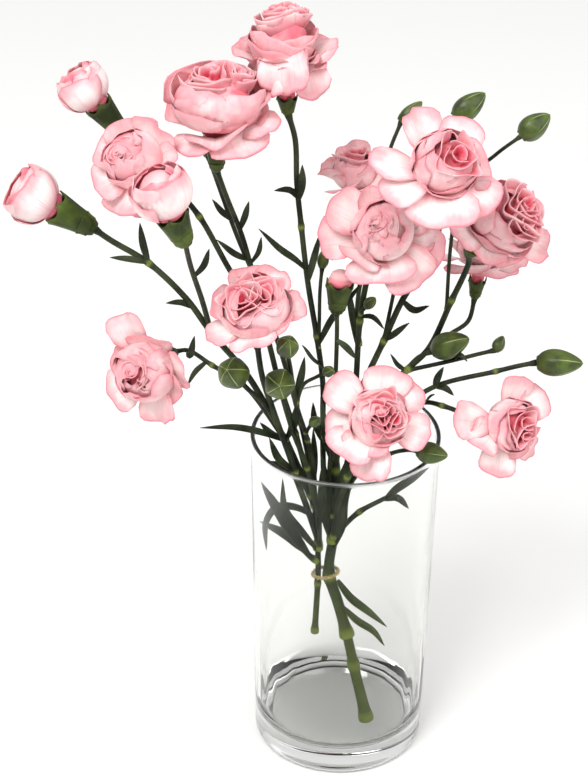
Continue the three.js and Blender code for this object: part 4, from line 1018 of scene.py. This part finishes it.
def green_look(name, dark, light, lime, roughness):
    """Grey-green skin with paler joints and a cloudy waxy bloom, yellower down in the glass."""
    look, shader = new_look(name, Roughness=roughness, Specular_IOR_Level=0.2)
    where = place_vector(look)
    cloud = noise(where, 90, 4)
    speckle = noise(where, 900, 2)
    skin = blend(ramp(cloud, 0.35, 0.7), dark, light)
    paler = ramp(read_value(look, "lime"), 0.1, 1, 0, 0.85)
    joint = blend(paler, skin, lime)
    height = height_of(where)
    fresh = blend(ramp(height, 0.03, 0.11, 0.5, 0), joint, "6b7a35")
    fine = blend(ramp(speckle, 0.55, 0.75, 0, 0.3), fresh, light)
    return finished(look, shader, fine, speckle, 0.0001)


def bud_look():
    """Green bud, darker at its foot, with pale seams that run down from the tip."""
    look, shader = new_look("bud", Roughness=0.42, Specular_IOR_Level=0.45)
    where = place_vector(look)
    along = read_value(look, "along")
    seam = read_value(look, "across")
    cloud = noise(where, 160, 4)
    streaks = noise(where, 700, 2)
    skin = blend(ramp(cloud, 0.3, 0.7), "2c390f", "51641f")
    shaded = blend(ramp(along, 0, 0.5, 0.55, 0), skin, "26310e")
    line = times(ramp(seam, 0.93, 0.99), ramp(along, 0.4, 0.75))
    lined = blend(line, shaded, "b7c47a")
    return finished(look, shader, lined, streaks, 0.00015)


def glass_look():
    """Clear glass, slightly matt on the rim and wavy where the walls run into the foot."""
    look, shader = new_look("glass", IOR=1.5, Transmission_Weight=1, Specular_IOR_Level=0.25)
    shader.inputs["Base Color"].default_value = (0.98, 0.985, 0.975, 1)
    shader.inputs["Specular Tint"].default_value = (0.05, 0.05, 0.05, 1)
    where = place_vector(look)
    height = height_of(where)
    rim = GLASS_HEIGHT * MM
    matt = ramp(height, rim - 0.0025, rim - 0.001, 0, 0.3)
    connect(matt, shader.inputs["Roughness"])
    inputs = {"Vector": where, "Scale": (75, 75, 18)}
    stretched = add_node(look.node_tree, "ShaderNodeMapping", inputs).outputs[0]
    low = times(ramp(height, 0.012, 0.022), ramp(height, 0.03, 0.08, 1, 0.1))
    waves = times(noise(stretched, 1, 1), low)
    bumped(shader, waves, 0.0008)
    return look


def tie_look():
    look, shader = new_look("raffia", Roughness=0.75)
    fibre = noise(place_vector(look), 1400, 3)
    shade = blend(ramp(fibre, 0.35, 0.65), "a88f5c", "d6c492")
    return finished(look, shader, shade, fibre, 0.0002)


def floor_look():
    look, shader = new_look("floor", Roughness=0.7, Specular_IOR_Level=0.1)
    cloud = noise(place_vector(look), 3, 2)
    shade = blend(cloud, "f4f4f2", "f8f8f6")
    connect(shade, shader.inputs["Base Color"])
    return look


def floor():
    half = 4
    mesh = bpy.data.meshes.new("floor")
    corners = [(-half, -half, 0), (half, -half, 0), (half, half, 0), (-half, half, 0)]
    mesh.from_pydata(corners, [], [(0, 1, 2, 3)])
    mesh.materials.append(floor_look())
    add_object("floor", mesh)


def softbox(name, place, size, power):
    """A square area light that faces the middle of the flowers."""
    light = bpy.data.lights.new(name, "AREA")
    light.size = size
    light.energy = power
    made = add_object(name, light)
    made.location = place
    made.rotation_euler = (Vector((0, 0, 0.2)) - Vector(place)).to_track_quat("-Z", "Y").to_euler()


def surroundings():
    """A bright ceiling over a darker horizon, so that the edges of the glass show."""
    world = bpy.data.worlds.new("studio")
    bpy.context.scene.world = world
    world.use_nodes = True
    direction = add_node(world.node_tree, "ShaderNodeTexCoord").outputs["Generated"]
    shade = blend(ramp(height_of(direction), 0.1, 0.6, 0.5, 1), "000000", "ffffff")
    background = world.node_tree.nodes["Background"]
    connect(shade, background.inputs["Color"])
    background.inputs["Strength"].default_value = 0.75


def turned_by(degrees, axis):
    return Matrix.Rotation(math.radians(degrees), 4, axis)


def camera():
    """The photograph's camera: turned to the right, pitched down and rolled, in that order."""
    lens = bpy.data.cameras.new("camera")
    lens.sensor_fit = "VERTICAL"
    lens.sensor_height = SENSOR_HEIGHT
    lens.lens = SENSOR_HEIGHT * FOCAL_SHARE
    lens.clip_end = 20
    made = add_object("camera", lens)
    turn = turned_by(-CAMERA_YAW, "Z") @ turned_by(90 - CAMERA_PITCH, "X") @ turned_by(CAMERA_ROLL, "Z")
    made.matrix_world = Matrix.Translation(Vector(CAMERA_PLACE) * MM) @ turn
    bpy.context.scene.camera = made


camera()
surroundings()
softbox("key", place=(-0.5, -0.75, 1.4), size=0.7, power=18)
softbox("fill", place=(0.9, -0.6, 1.1), size=1, power=8)
floor()

petals = petal_look()
greens = {
    "stems": green_look("stem", dark="191f12", light="39422a", lime="8a9a45", roughness=0.5),
    "leaves": green_look("leaf", dark="1d2416", light="3d4830", lime="6d7b42", roughness=0.55),
    "cups": green_look("cup", dark="222c10", light="4a5a22", lime="7b8a3f", roughness=0.5),
    "buds": bud_look(),
}
tumbler(glass_look())
tie(tie_look())
spray("right", RIGHT_BRANCHES, RIGHT_LEAVES, greens)
spray("left", LEFT_BRANCHES, LEFT_LEAVES, greens)
for order, name in enumerate(BLOOMS):
    bloom(name, order, petals)
for name in OPENING_BUDS:
    opening_head(name, petals)

bpy.context.scene.view_settings.view_transform = "Standard"
